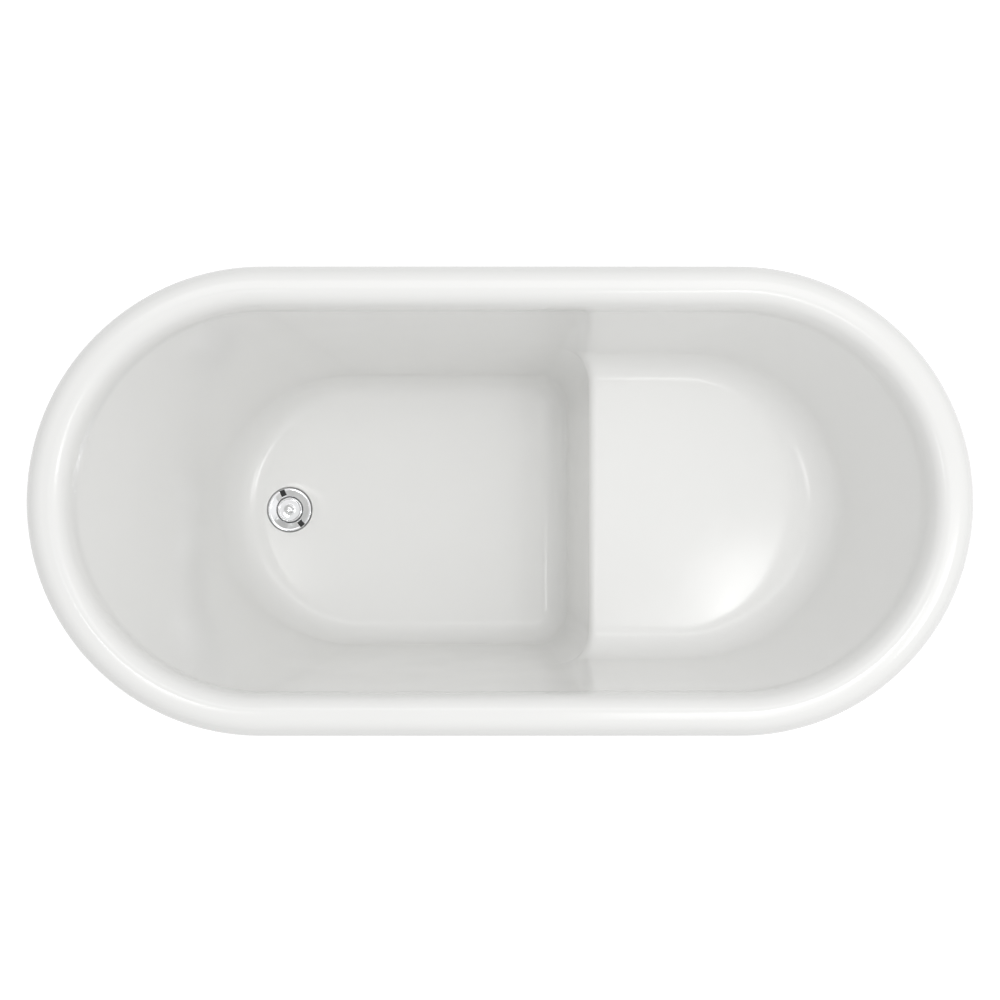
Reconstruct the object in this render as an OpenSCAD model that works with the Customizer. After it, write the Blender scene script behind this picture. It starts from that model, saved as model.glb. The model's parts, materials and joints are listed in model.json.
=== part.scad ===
// Free-standing sit-in bathtub with a moulded seat, in millimetres.
// The origin is on the floor, under the middle of the tub. +X points to the seat end, +Z is up.

/* [Tub outline] */
// Overall length over the rim
tub_l = 1300; // [1260:10:1500]
// Overall width over the rim
tub_w = 645; // [630:5:720]
// Height of the rim above the floor
tub_h = 660; // [640:5:720]
// Width of the rolled rim, seen from above
rim_w = 56; // [52:1:60]
// Radius of the rim's outer edge
rim_outer_r = 24; // [18:1:26]
// Radius of the rim's inner shoulder
rim_inner_r = 24; // [16:1:25]
// Height of the lip that turns down outside the skirt
lip_h = 42; // [40:1:54]
// Thickness of the basin shell
shell_t = 6; // [5:0.5:7]

/* [Foot well] */
// Height of the foot well's floor
well_floor_h = 130; // [130:2:150]
// How far the foot end's wall runs in from rim to floor
well_end_run = 163; // [140:1:190]
// How far the side walls run in from rim to floor
well_side_run = 55; // [50:1:64]
// Radius between the side walls and the floor
well_fillet = 40; // [20:1:44]
// How far the fillet of the foot end goes up the wall
end_fillet_rise = 70; // [40:2:80]
// How far the fillet of the foot end goes in over the floor
end_fillet_reach = 52; // [40:1:54]
// Radius of the two upright corners beside the riser
riser_corner_r = 54; // [46:1:60]
// How far the riser leans in from seat to floor
riser_run = 32; // [16:1:44]

/* [Seat] */
// Height of the seat
seat_h = 362; // [340:2:400]
// Length of the seat from its front edge to the foot of the backrest
seat_len = 356; // [330:2:370]
// How far the backrest runs in from rim to seat
seat_back_run = 103; // [90:1:130]
// How far the walls beside the seat run in from rim to seat
seat_side_run = 45; // [40:1:54]
// Radius between the seat and the side walls
seat_fillet = 42; // [24:1:46]
// How far the backrest's fillet goes up the wall
back_fillet_rise = 48; // [30:2:60]
// How far the backrest's fillet goes in over the seat
back_fillet_reach = 72; // [46:2:80]
// Radius of the seat's front edge
seat_edge_r = 12; // [9:1:16]
// Half the width of the upright creases beside the seat
crease_half = 6; // [3:0.5:8]
// How far those creases lean to the foot end at the rim
crease_lean = 14; // [0:1:20]

/* [Skirt] */
// Thickness of the skirt
skirt_t = 5; // [4:0.5:6]
// How far the skirt runs in from top to foot
skirt_run = 76; // [66:1:80]
// How far the skirt's wall bows out from a straight line
skirt_bow = 7; // [0:1:10]
// Gap between the skirt's lower edge and the floor
skirt_lift = 8; // [6:1:10]
// Width of the flange that turns in at the skirt's foot
flange_w = 35; // [34:1:40]
// Thickness of the sealant between lip and skirt
bond_t = 3; // [2:0.5:4]
// Height of the sealant bead above the lip's edge
bond_inset = 2; // [1:0.5:6]

/* [Boards] */
// Thickness of the boards under the foot well and the seat
board_t = 16; // [12:1:18]
// How far the boards stay inside the flat they carry
board_margin = 14; // [8:1:30]
// Radius of the notch round the waste
board_notch_r = 60; // [56:1:70]

/* [Frame] */
// Outside width of the square tubes
tube_w = 25; // [25:1:30]
// Wall of the square tubes
tube_t = 2; // [1.5:0.5:3]
// Distance from the tub's end to the middle of an outer crossbar
crossbar_inset = 220; // [214:1:226]
// How far each crossbar passes the inner edge of the skirt's flange
crossbar_lap = 7.5; // [4:0.5:9]
// Distance from the end of an outer crossbar to the middle of a rail
rail_inset = 72; // [68:1:76]
// How far the rails pass the outer crossbars
rail_overhang = 18; // [14:1:24]
// Distance from the seat's front edge to the front posts
post_front_inset = 36; // [30:1:60]
// Distance between the front and the back posts
post_gap = 226; // [180:2:236]
// How far the seat's bearers pass the rails' middles
bearer_overhang = 16; // [13:1:18]
// Thickness of the brackets that hold the skirt
bracket_t = 2; // [2:0.5:3]
// Width of the brackets that hold the skirt
bracket_w = 24; // [20:1:28]
// Length of each bracket under its crossbar
bracket_top_l = 30; // [26:1:32]
// Length of each bracket over the skirt's flange
bracket_foot_l = 16; // [14:1:17]

/* [Levelling feet] */
// Diameter of the threaded stud
stud_d = 12; // [10:1:12]
// Rise of the stud's thread for one turn
stud_pitch = 1.75; // [1.5:0.05:2]
// Diameter of the foot's pad
pad_d = 48; // [40:1:50]
// Height of the foot's pad
pad_h = 14; // [12:1:16]
// Distance from the end of an outer crossbar to the middle of its foot
foot_inset = 47; // [46:0.5:48]
// Height of the nut welded under the crossbar
weld_nut_h = 10; // [8:0.5:12]
// Height of the lock nut above the crossbar
lock_nut_h = 7; // [5:0.5:7]
// Width of both nuts over their flats
foot_nut_af = 19; // [18:0.5:19]
// Length of stud above the lock nut
stud_spare = 10; // [10:0.5:10.5]
// Gap between a turning stud and what it passes through
stud_play = 0.08; // [0.05:0.01:0.1]

/* [Waste] */
// Distance from the foot end of the well's floor to the middle of the waste
waste_inset = 92; // [91:1:110]
// Diameter of the waste's flange
waste_flange_d = 70; // [68:1:76]
// Outside diameter of the waste's threaded tail
waste_tail_d = 48; // [47:0.5:49]
// Wall of the threaded tail
waste_tail_t = 3; // [2.5:0.5:3.5]
// Depth of the recess in the floor for the flange
waste_recess = 6; // [5:0.5:6]
// Height of the flange's edge above the floor of the well
waste_proud = 1; // [0.5:0.1:2]
// Thickness of the seal under the flange
waste_seal_t = 1.5; // [1:0.25:2]
// Thickness of the shell round the waste
waste_boss_t = 8; // [7:0.5:9]
// Thickness of the gasket under the shell
gasket_t = 3; // [2:0.5:4]
// Height of the nut that clamps the waste
backnut_h = 10; // [8:0.5:11]
// Length of tail below the clamping nut
tail_spare = 15; // [14:0.5:16]
// Diameter of the stopper's cap
stopper_d = 40; // [38:0.5:40.5]
// Diameter of the stopper's knob
knob_d = 14; // [12:0.5:16]
// Height of the stopper's knob
knob_h = 12; // [10:0.5:14]
// How far the stopper lifts
stopper_travel = 10; // [8:0.5:11]
// Diameter of the post that guides the stopper
post_d = 6; // [5:0.5:7]
// Gap between the stopper's sliding and turning faces
stopper_play = 0.08; // [0.05:0.01:0.1]
// Distance of the two wrench slots from the middle of the waste
wrench_r = 27.5; // [26.5:0.5:28.5]
// Length of the wrench slots
wrench_l = 9; // [7:0.5:10]

/* [Trap] */
// Outside diameter of the outlet pipe
outlet_d = 40; // [36:0.5:41]
// Wall of the outlet pipe
outlet_t = 2; // [1.8:0.1:2.5]
// Distance from the waste's axis to the end of the outlet pipe, which turns down
outlet_run = 161; // [150:1:200]
// Height of the outlet pipe's axis
outlet_h = 47; // [46:0.5:48]
// Radius of the outlet pipe's bend
outlet_bend_r = 24; // [22:1:26]
// Height of the outlet pipe's open end above the floor
outlet_end_h = 5; // [4:0.5:8]
// Outside diameter of the trap's body
trap_d = 94; // [90:1:98]
// Wall of the trap
trap_t = 3; // [2.5:0.5:3.5]
// Height of the trap's cup above the floor
trap_lift = 8; // [6:1:9]

/* [Hidden] */
$fn = 64;

// Steps in one rounded end of the tub, and in one quarter of a rounded edge
end_steps = 24;
edge_steps = 6;
fillet_steps = 4;
// Length by which a cutter passes the face it cuts
cut = 1;

// Rim and the ends' common centres
end_r = tub_w / 2;
end_x = (tub_l - tub_w) / 2;
rim_in_r = end_r - rim_w;
lip_in_r = end_r - shell_t;
// Straight part of the rim's inner leg
rim_leg = 10;
rim_leg_z = tub_h - rim_inner_r - rim_leg;
// The wall's top is a tongue that sits inside the thickness of the rim's inner leg
tongue = 0.8;
tongue_h = 2;
wall_top_z = rim_leg_z + tongue_h;

// Foot of the foot well's walls
well_r = rim_in_r - well_side_run;
well_end_x = -(end_x + rim_in_r - well_end_run);
well_x = well_end_x + well_r;
// Foot of the walls round the seat
seat_r = rim_in_r - seat_side_run;
seat_back_x = end_x + rim_in_r - seat_back_run;
seat_x = seat_back_x - seat_r;
seat_front_x = seat_back_x - seat_len;
crease_x = seat_front_x + seat_edge_r;
riser_z = seat_h - seat_edge_r;
riser_foot_x = seat_front_x - riser_run;
// Small step that keeps the first seat points apart from the crease
crease_step = 2;

// Skirt
skirt_r = lip_in_r - bond_t;
skirt_foot_r = skirt_r - skirt_run;
lip_z = tub_h - lip_h;
// The bead fills the straight part of the lip
bond_z = lip_z + bond_inset;
bond_top_z = tub_h - rim_outer_r;
// Heights by which the skirt passes the bead, and over which it stays upright under the lip
skirt_top_rise = 6;
skirt_collar = 12;
skirt_top_z = bond_top_z + skirt_top_rise;
skirt_turn_z = lip_z - skirt_collar;
skirt_steps = 8;
flange_in_r = skirt_foot_r - flange_w;
flange_top_z = skirt_lift + skirt_t;

// Boards and frame, from the shell down
floor_board_z = well_floor_h - shell_t - board_t;
rail_z = floor_board_z - tube_w;
bar_z = rail_z - tube_w;
crossbar_x = tub_l / 2 - crossbar_inset;
middle_bar_half = flange_in_r + crossbar_lap;
outer_bar_half = sqrt(pow(flange_in_r, 2) - pow(crossbar_x - end_x, 2)) + crossbar_lap;
rail_y = outer_bar_half - rail_inset;
rail_half = crossbar_x + rail_overhang;
seat_board_z = seat_h - shell_t - board_t;
bearer_z = seat_board_z - tube_w;
post_front_x = seat_front_x + post_front_inset;
post_back_x = post_front_x + post_gap;
post_xs = [post_front_x, post_back_x];

// Places of the brackets: x, half length of the crossbar, side
BRACKETS = [
    for (x = [-crossbar_x, 0, crossbar_x], side = [-1, 1])
        [x, x == 0 ? middle_bar_half : outer_bar_half, side]
];
bracket_hole_in = 9;
bracket_screw_d = 5;
bracket_screw_l = 12;
// Distance from the crossbar's end to the bracket's screw through the flange
flange_screw_out = bracket_foot_l - bracket_t - bracket_screw_d;

// Screws and bolts
rail_bolt_d = 8;
rail_bolt_head_h = 5;
rail_nut_h = 5;
rail_nut_d = 13;
rail_bolt_end = 1;
rail_bolt_l = tube_w + tube_t + rail_nut_h + rail_bolt_end;
BOLTS = [for (x = [-crossbar_x, 0, crossbar_x], side = [-1, 1]) [x, side * rail_y]];
board_screw_d = 5;
board_screw_head = 3;
board_screw_bite = 11;
// Distance between the two screws of each seat bearer
seat_screw_gap = 100;
FLOOR_SCREWS = [for (x = [well_x, well_x / 2, riser_foot_x / 3], side = [-1, 1]) [x, side * rail_y]];
SEAT_SCREWS = [for (x = post_xs, side = [-1, 1]) [x, side * seat_screw_gap / 2]];
screw_head_ratio = 1.9;

// Feet
FEET = [
    for (x = [-crossbar_x, crossbar_x], side = [-1, 1]) [x, side * (outer_bar_half - foot_inset)],
    [0, 0]
];
stud_bottom_z = 4;
stud_top_z = bar_z + tube_w + lock_nut_h + stud_spare;
stud_hole_r = stud_d / 2 + stud_play;

// Waste, from the floor of the well down
waste_x = well_end_x + waste_inset;
recess_z = well_floor_h - waste_recess;
recess_gap = 1.5;
waste_edge_z = well_floor_h + waste_proud;
brim_z = recess_z + waste_seal_t;
boss_z = recess_z - waste_boss_t;
gasket_z = boss_z - gasket_t;
backnut_z = gasket_z - backnut_h;
tail_z = backnut_z - tail_spare;
tail_r = waste_tail_d / 2;
bore_r = tail_r - waste_tail_t;
flange_r = waste_flange_d / 2;
// How far the boss passes the flange, and the gasket the tail
boss_rim = 9;
gasket_rim = 12;
boss_r = flange_r + boss_rim;
gasket_r = tail_r + gasket_rim;
backnut_wall = 9;
backnut_af = waste_tail_d + 2 * backnut_wall;
// Edges and slopes of the flange
dish_in = 1.5;
dish_drop = 0.2;
flange_lip = 2.5;
flange_edge = 1;
dish_in_z = brim_z + dish_in;
dish_out_z = waste_edge_z - dish_drop;
bore_edge = 0.8;
// The two wrench slots
wrench_turns = [-58, 122];
wrench_w = 5;
wrench_floor = 1;

// Stopper, from its seat up
ledge_drop = 3.5;
ledge_t = 4;
ledge_w = 3.5;
ledge_top_z = brim_z - ledge_drop;
ledge_r = bore_r - ledge_w;
seat_gap = 0.3;
seal_t = 2.7;
seal_side_gap = 1.2;
seal_z = ledge_top_z + seat_gap;
seal_r = bore_r - seal_side_gap;
sleeve_wall = 4;
sleeve_step = 1;
sleeve_r = post_d / 2 + sleeve_wall;
sleeve_flange_r = ledge_r - ledge_w;
cap_z = seal_z + seal_t + seat_gap;
cap_t = 3.5;
cap_bore_h = 2;
cap_edge = 1.5;
cap_round = 0.6;
cap_rim = 2.5;
sleeve_top_z = cap_z + cap_bore_h - seat_gap;
sleeve_top_t = 2;
post_top_gap = 1;
post_top_z = sleeve_top_z - sleeve_top_t - post_top_gap;
// Length of sleeve that stays on the post at full lift
post_guide = 6;
sleeve_z = post_top_z - stopper_travel - post_guide;
hub_h = 6;
hub_gap = 2;
hub_wall = 3.5;
hub_z = sleeve_z - hub_gap - hub_h;
hub_r = post_d / 2 + hub_wall;
web_t = 3;
web_turns = [0, 120, 240];
knob_z = cap_z + cap_t;
knob_neck_d = 8;
// Share of the knob's height below its head
knob_neck_share = 0.4;
knob_edge = 1;
knob_under = 1.5;
knob_round = 3;

// Trap, from the tail down
inlet_seal_t = 2;
collar_t = 3;
collar_z = tail_z - inlet_seal_t - collar_t;
collar_gap = 0.5;
inlet_nut_lip = 3;
inlet_nut_gap = 5;
inlet_nut_wall = 9;
inlet_nut_z = collar_z - inlet_nut_lip;
inlet_nut_top_z = backnut_z - inlet_nut_gap;
inlet_nut_r = tail_r + inlet_nut_wall;
neck_r = tail_r - collar_t - collar_gap;
neck_h = 7;
trap_r = trap_d / 2;
trap_in_r = trap_r - trap_t;
trap_top_z = inlet_nut_z - neck_h;
// Gap between the cup's floor and the trap's wall, and between the cup's floor and the dip tube
wall_gap = 7;
dip_gap = 4;
trap_wall_z = trap_lift + wall_gap;
trap_dip_z = trap_lift + trap_t + dip_gap;
cup_seal_t = 2;
cup_wall = 3;
cup_edge = 2;
cup_step = 1;
cup_r = trap_r + cup_wall;
cup_gap = 0.5;
thread_gap = 0.2;
socket_t = 3.3;
socket_gap = 0.3;
socket_l = 32;
socket_mouth = 6;
socket_r = outlet_d / 2 + socket_gap + socket_t;
cup_top_z = outlet_h - socket_r - cup_gap;
socket_end_x = waste_x + trap_r + socket_l;
outlet_seal_l = 6;
outlet_seal_gap = 0.5;
outlet_nut_l = 22;
outlet_nut_lip = 3;
outlet_nut_wall = 6;
outlet_nut_r = socket_r + outlet_nut_wall;
pipe_inset = 8;
outlet_start_x = waste_x + trap_r + pipe_inset;
outlet_x = waste_x + outlet_run;

// Small helpers
function mix(a, b, t) = a + (b - a) * t;
function bend(a, c, b, t) = (1 - t) * (1 - t) * a + 2 * t * (1 - t) * c + t * t * b;
function on_circle(x, r, a) = [x + r * cos(a), r * sin(a)];
function lift_to(p, z) = [p[0], p[1], z];
function arc_points(c, r, from, to, steps) =
    [for (i = [0:steps]) c + r * [cos(mix(from, to, i / steps)), sin(mix(from, to, i / steps))]];

// A plan with one straight end and one rounded end, from x_flat to the round end's middle
function rounded_plan(x_flat, x_mid, r) =
    let (side = x_mid > x_flat ? 1 : -1)
    concat(
        [[x_flat, -side * r]],
        [for (i = [0:end_steps]) on_circle(x_mid, r, mix(-90, 90, i / end_steps) + (side > 0 ? 0 : 180))],
        [[x_flat, side * r]]
    );

// Sweeps a section, drawn as distance and height, round the tub's stadium outline
module sweep_outline() {
    for (turn = [0, 180]) {
        rotate([0, 0, turn]) {
            translate([end_x, 0, 0])
                rotate([0, 0, -90])
                    rotate_extrude(angle = 180, $fn = 2 * end_steps)
                        children();
            translate([-end_x, 0, 0])
                rotate([90, 0, 90])
                    linear_extrude(2 * end_x)
                        children();
        }
    }
}

// A washer or tube, standing on z
module ring(r_out, r_in, z, h) {
    translate([0, 0, z]) {
        difference() {
            cylinder(r = r_out, h = h);
            translate([0, 0, -cut])
                cylinder(r = r_in, h = h + 2 * cut);
        }
    }
}

// A hexagon nut, standing on z
module hex_nut(across_flats, r_in, z, h) {
    translate([0, 0, z]) {
        difference() {
            cylinder(r = across_flats / 2 / cos(30), h = h, $fn = 6);
            translate([0, 0, -cut])
                cylinder(r = r_in, h = h + 2 * cut);
        }
    }
}

// A square tube along X, centred on y, standing on z
module tube_x(x_from, x_to, y, z) {
    translate([x_from, y - tube_w / 2, z]) {
        difference() {
            cube([x_to - x_from, tube_w, tube_w]);
            translate([-cut, tube_t, tube_t])
                cube([x_to - x_from + 2 * cut, tube_w - 2 * tube_t, tube_w - 2 * tube_t]);
        }
    }
}

// A square tube along Y, centred on x and on the tub's middle
module tube_y(x, half, z) {
    translate([x, 0, 0])
        rotate([0, 0, 90])
            tube_x(-half, half, 0, z);
}

// A screw or bolt that points up, with its head under z
module screw_up(d, l, head_h, z) {
    translate([0, 0, z])
        cylinder(d = d, h = l);
    translate([0, 0, z - head_h])
        cylinder(d = d * screw_head_ratio, h = head_h);
}

// The basin is a loft of closed rings. A ring runs round the seat, over a crease, round the
// foot end and over the other crease. A crease has crease_n points, which turn into the riser's
// rounded corner lower down. A point is found from its place in the ring, the ring's
// number from the rim down, and the offset: 0 inside, the shell's thickness outside.
arc_n = end_steps + 2;
crease_n = 3;
ring_n = 2 * (arc_n + 1 + crease_n);
front_steps = 3;
seat_fillet_ring = 1 + fillet_steps;
edge_ring = seat_fillet_ring + 1;
riser_ring = edge_ring + front_steps;
well_ring = riser_ring + 1;
last_ring = well_ring + fillet_steps;
well_fillet_z = well_floor_h + well_fillet;
// The flat floor's corners beside the riser: their radius and the middles they turn round
floor_corner_min = 2;
floor_corner_r = max(floor_corner_min, riser_corner_r - well_fillet);
floor_edge_x = riser_foot_x - well_fillet;
floor_edge_y = well_r - well_fillet;
floor_corner_x = floor_edge_x - floor_corner_r;
floor_corner_y = floor_edge_y - floor_corner_r;

// Where the straight part of the foot well's side walls begins, at the rim
well_lead_x = seat_front_x - riser_corner_r - crease_lean;

function well_share(z) = (wall_top_z - z) / (wall_top_z - well_floor_h);
function wall_r(z, off) = mix(rim_in_r, well_r, well_share(z)) + off;
function riser_x(z) = mix(seat_front_x, riser_foot_x, (seat_h - z) / (seat_h - well_floor_h));
function ring_z(j) =
    j == 0 ? wall_top_z :
    j <= riser_ring ? mix(seat_h + seat_fillet, riser_z, (j - 1) / (riser_ring - 1)) :
    well_fillet_z;
function well_depth(off) = well_floor_h - off;
function seat_depth(off) = seat_h - off;
function top_off(off) = off == 0 ? tongue : off - tongue;

// How far a crease has leant to the foot end at the height z
function lean(z) = crease_lean * max(0, z - seat_h) / (wall_top_z - seat_h);

// How much point i of the foot end belongs to its middle: 0 beside the side walls, 1 in the middle
function end_share(i) = pow(cos(mix(-90, 90, max(0, min(i - 1, end_steps)) / end_steps)), 2);

// Point i of 0 to arc_n on a rounded end with a straight lead at each side
function end_point(lead_x, mid_x, r, i, turn) =
    i == 0 ? on_circle(lead_x, r, turn - 90) :
    i == arc_n ? on_circle(lead_x, r, turn + 90) :
    on_circle(mid_x, r, turn + mix(-90, 90, (i - 1) / end_steps));

// Foot end: wall from the rim down, then the fillet to the floor
function well_point(i, j, off) =
    let (
        top = end_point(well_lead_x, -end_x, rim_in_r + top_off(off), i, 180),
        foot = end_point(riser_foot_x - riser_corner_r, well_x, well_r + off, i, 180),
        start_z = well_floor_h + mix(well_fillet, end_fillet_rise, end_share(i)),
        reach = mix(well_fillet, end_fillet_reach, end_share(i)),
        z = j < well_ring ? ring_z(j) : start_z,
        wall = lift_to(mix(top, foot, well_share(z)), z),
        end = end_point(floor_corner_x, well_x, well_r - reach, i, 180),
        t = (j - well_ring) / fillet_steps
    )
    j < well_ring ? wall : bend(wall, lift_to(foot, well_depth(off)), lift_to(end, well_depth(off)), t);

// Seat end: backrest, fillet, seat, front edge, riser, then the fillet to the floor
function seat_point(i, j, off) =
    let (
        lead_x = seat_front_x + crease_half,
        top = end_point(lead_x - crease_lean, end_x, rim_in_r + top_off(off), i, 0),
        foot = end_point(lead_x, seat_x, seat_r + off, i, 0),
        start_z = seat_h + mix(seat_fillet, back_fillet_rise, end_share(i)),
        reach = mix(seat_fillet, back_fillet_reach, end_share(i)),
        start = mix(top, foot, (wall_top_z - start_z) / (wall_top_z - seat_h)),
        end = end_point(crease_x + crease_step, seat_x, seat_r - reach, i, 0),
        side = 2 * i / arc_n - 1,
        edge = [crease_x, side * (seat_r - seat_fillet - crease_step), seat_depth(off)],
        riser_top = [riser_x(riser_z) + off, side * (wall_r(riser_z, 0) - riser_corner_r), riser_z],
        edge_turn = [seat_front_x + off, mix(edge[1], riser_top[1], 0.5), seat_depth(off)],
        low_y = side * (wall_r(well_fillet_z, 0) - riser_corner_r),
        foot_y = side * (well_r - riser_corner_r),
        riser_low = [riser_x(well_fillet_z) + off, low_y, well_fillet_z],
        riser_foot = [riser_foot_x + off, foot_y, well_depth(off)],
        floor_edge = [floor_edge_x, side * floor_corner_y, well_depth(off)]
    )
    j == 0 ? lift_to(top, wall_top_z) :
    j <= seat_fillet_ring ?
        bend(
            lift_to(start, start_z), lift_to(foot, seat_depth(off)),
            lift_to(end, seat_depth(off)), (j - 1) / fillet_steps
        ) :
    j <= riser_ring ? bend(edge, edge_turn, riser_top, (j - edge_ring) / (riser_ring - edge_ring)) :
    bend(riser_low, riser_foot, floor_edge, (j - well_ring) / fillet_steps);

// Point c of 1 to crease_n between the two, counted from the seat. Above the seat the points follow
// the wall from the crease on, and below it they are the riser's rounded corner.
function crease_point(side, c, j, off) =
    let (
        z = ring_z(j),
        crease = seat_front_x - crease_half - lean(z),
        far_x = mix(well_lead_x, riser_foot_x - riser_corner_r, well_share(z)),
        wall_y = j == 0 ? rim_in_r + top_off(off) : wall_r(z, off),
        wall = [mix(crease, far_x, (c - 1) / crease_n), side * wall_y, z],
        out = on_circle(0, 1, side * 90 * c / (crease_n + 1)),
        corner = [riser_x(z), side * wall_r(z, 0)] - riser_corner_r * [1, side]
            + (riser_corner_r + off) * out,
        foot_mid = [riser_foot_x, side * well_r] - riser_corner_r * [1, side],
        foot = foot_mid + (riser_corner_r + off) * out,
        end = [floor_corner_x, side * floor_corner_y] + floor_corner_r * out,
        t = (j - well_ring) / fillet_steps
    )
    j <= seat_fillet_ring ? wall :
    j <= riser_ring ?
        mix(wall, lift_to(corner, z), (j - seat_fillet_ring) / (riser_ring - seat_fillet_ring)) :
    bend(
        lift_to(corner, well_fillet_z), lift_to(foot, well_depth(off)),
        lift_to(end, well_depth(off)), t
    );

function bowl_point(k, j, off) =
    let (well_k = k - arc_n - 1 - crease_n)
    k <= arc_n ? seat_point(k, j, off) :
    well_k < 0 ? crease_point(1, k - arc_n, j, off) :
    well_k <= arc_n ? well_point(well_k, j, off) :
    crease_point(-1, ring_n - k, j, off);

module bowl() {
    points = concat(
        [for (off = [0, shell_t], j = [0:last_ring], k = [0:ring_n - 1]) bowl_point(k, j, off)],
        [for (off = [0, shell_t]) [waste_x, 0, well_depth(off)]]
    );
    half = ring_n * (last_ring + 1);
    faces = [
        for (k = [0:ring_n - 1])
            let (n = (k + 1) % ring_n, low = half - ring_n)
            each concat(
                [for (j = [0:last_ring - 1]) let (a = j * ring_n, b = a + ring_n) each [
                    [a + k, b + k, b + n], [a + k, b + n, a + n],
                    [half + a + k, half + b + n, half + b + k], [half + a + k, half + a + n, half + b + n]
                ]],
                [
                    [k, n, half + n], [k, half + n, half + k],
                    [2 * half, low + n, low + k], [2 * half + 1, half + low + k, half + low + n]
                ]
            )
    ];
    polyhedron(points, faces, convexity = 6);
}

// Section of the rolled rim: outer lip, flat top, inner shoulder and inner leg
function rim_section() =
    let (
        out_c = [end_r - rim_outer_r, tub_h - rim_outer_r],
        in_c = [rim_in_r + rim_inner_r, tub_h - rim_inner_r]
    )
    concat(
        [[end_r, lip_z]],
        arc_points(out_c, rim_outer_r, 0, 90, edge_steps),
        arc_points(in_c, rim_inner_r, 90, 180, edge_steps),
        [[rim_in_r, rim_leg_z], [rim_in_r + shell_t, rim_leg_z]],
        arc_points(in_c, rim_inner_r - shell_t, 180, 90, edge_steps),
        arc_points(out_c, rim_outer_r - shell_t, 90, 0, edge_steps),
        [[lip_in_r, lip_z]]
    );

// Acrylic inner shell: rolled rim, foot well, seat and the recess for the waste
module basin() {
    color("white") {
        difference() {
            union() {
                sweep_outline()
                    polygon(rim_section());
                bowl();
                translate([waste_x, 0, boss_z])
                    cylinder(r = boss_r, h = well_floor_h - shell_t / 2 - boss_z);
            }
            translate([waste_x, 0, recess_z])
                cylinder(r = flange_r + recess_gap, h = waste_recess + cut);
            translate([waste_x, 0, boss_z - cut])
                cylinder(r = tail_r, h = waste_boss_t + 2 * cut);
        }
    }
}

// Distance of the skirt's outer face from the outline's middle, at height z
function skirt_out(z) =
    let (t = min(1, max(0, (skirt_turn_z - z) / (skirt_turn_z - skirt_lift))))
    skirt_r - skirt_run * t + 4 * skirt_bow * t * (1 - t);

// Outer shell that carries nothing and closes the tub down to the floor
module skirt() {
    zs = [for (i = [0:skirt_steps]) mix(skirt_turn_z, skirt_lift, i / skirt_steps)];
    inner_zs = [for (i = [0:skirt_steps]) mix(flange_top_z, skirt_turn_z, i / skirt_steps)];
    section = concat(
        [[skirt_r, skirt_top_z]],
        [for (z = zs) [skirt_out(z), z]],
        [[flange_in_r, skirt_lift], [flange_in_r, flange_top_z]],
        [for (z = inner_zs) [skirt_out(z) - skirt_t, z]],
        [[skirt_r - skirt_t, skirt_top_z]]
    );
    color("white") {
        difference() {
            sweep_outline()
                polygon(section);
            for (b = BRACKETS)
                translate([b[0], b[2] * (b[1] + flange_screw_out), skirt_lift - cut])
                    cylinder(d = bracket_screw_d, h = skirt_t + 2 * cut);
        }
    }
}

// Bead of sealant between the rim's lip and the skirt
module rim_bond() {
    color("gainsboro")
        sweep_outline()
            translate([skirt_r, bond_z])
                square([bond_t, bond_top_z - bond_z]);
}

module screw_holes(places, z, h) {
    for (p = places)
        translate([p[0], p[1], z - cut])
            cylinder(d = board_screw_d, h = h + cut);
}

// Board under the foot well, notched round the waste
module floor_board() {
    color("burlywood") {
        difference() {
            translate([0, 0, floor_board_z])
                linear_extrude(board_t)
                    polygon(rounded_plan(
                        riser_foot_x - well_fillet - board_margin / 2, well_x,
                        well_r - well_fillet - board_margin
                    ));
            translate([waste_x, 0, floor_board_z - cut])
                cylinder(r = board_notch_r, h = board_t + 2 * cut);
            screw_holes(FLOOR_SCREWS, floor_board_z, board_screw_bite);
        }
    }
}

// Board under the seat
module seat_board() {
    color("burlywood") {
        difference() {
            translate([0, 0, seat_board_z])
                linear_extrude(board_t)
                    polygon(rounded_plan(
                        crease_x + board_margin / 2, seat_x, seat_r - seat_fillet - board_margin
                    ));
            screw_holes(SEAT_SCREWS, seat_board_z, board_screw_bite);
        }
    }
}

// Long square tube with holes for its bolts and the board's screws
module rail(side) {
    color("silver") {
        difference() {
            tube_x(-rail_half, rail_half, side * rail_y, rail_z);
            for (b = BOLTS)
                translate([b[0], side * rail_y, rail_z - cut])
                    cylinder(d = rail_bolt_d, h = tube_t + 2 * cut);
            screw_holes(FLOOR_SCREWS, rail_z, tube_w + cut);
        }
    }
}

// Square tube across the tub, with holes for the feet, the rails' bolts and the brackets' screws
module crossbar(x, half) {
    color("silver") {
        difference() {
            tube_y(x, half, bar_z);
            for (f = FEET)
                if (f[0] == x)
                    translate([f[0], f[1], bar_z - cut])
                        cylinder(r = stud_hole_r, h = tube_w + 2 * cut);
            for (b = BOLTS)
                if (b[0] == x)
                    translate([b[0], b[1], bar_z - cut])
                        cylinder(d = rail_bolt_d, h = tube_w + 2 * cut);
            for (side = [-1, 1])
                translate([x, side * (half - bracket_hole_in), bar_z - cut])
                    cylinder(d = bracket_screw_d, h = tube_t + 2 * cut);
        }
    }
}

// Upright square tube between a rail and a seat bearer
module seat_post(i) {
    x = post_xs[floor(i / 2)];
    y = (i % 2 == 0 ? -1 : 1) * rail_y;
    post_z = rail_z + tube_w;
    color("silver")
        translate([x, y, post_z]) {
            difference() {
                translate([-tube_w / 2, -tube_w / 2, 0])
                    cube([tube_w, tube_w, bearer_z - post_z]);
                translate([tube_t - tube_w / 2, tube_t - tube_w / 2, -cut])
                    cube([tube_w - 2 * tube_t, tube_w - 2 * tube_t, bearer_z - post_z + 2 * cut]);
            }
        }
}

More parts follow.
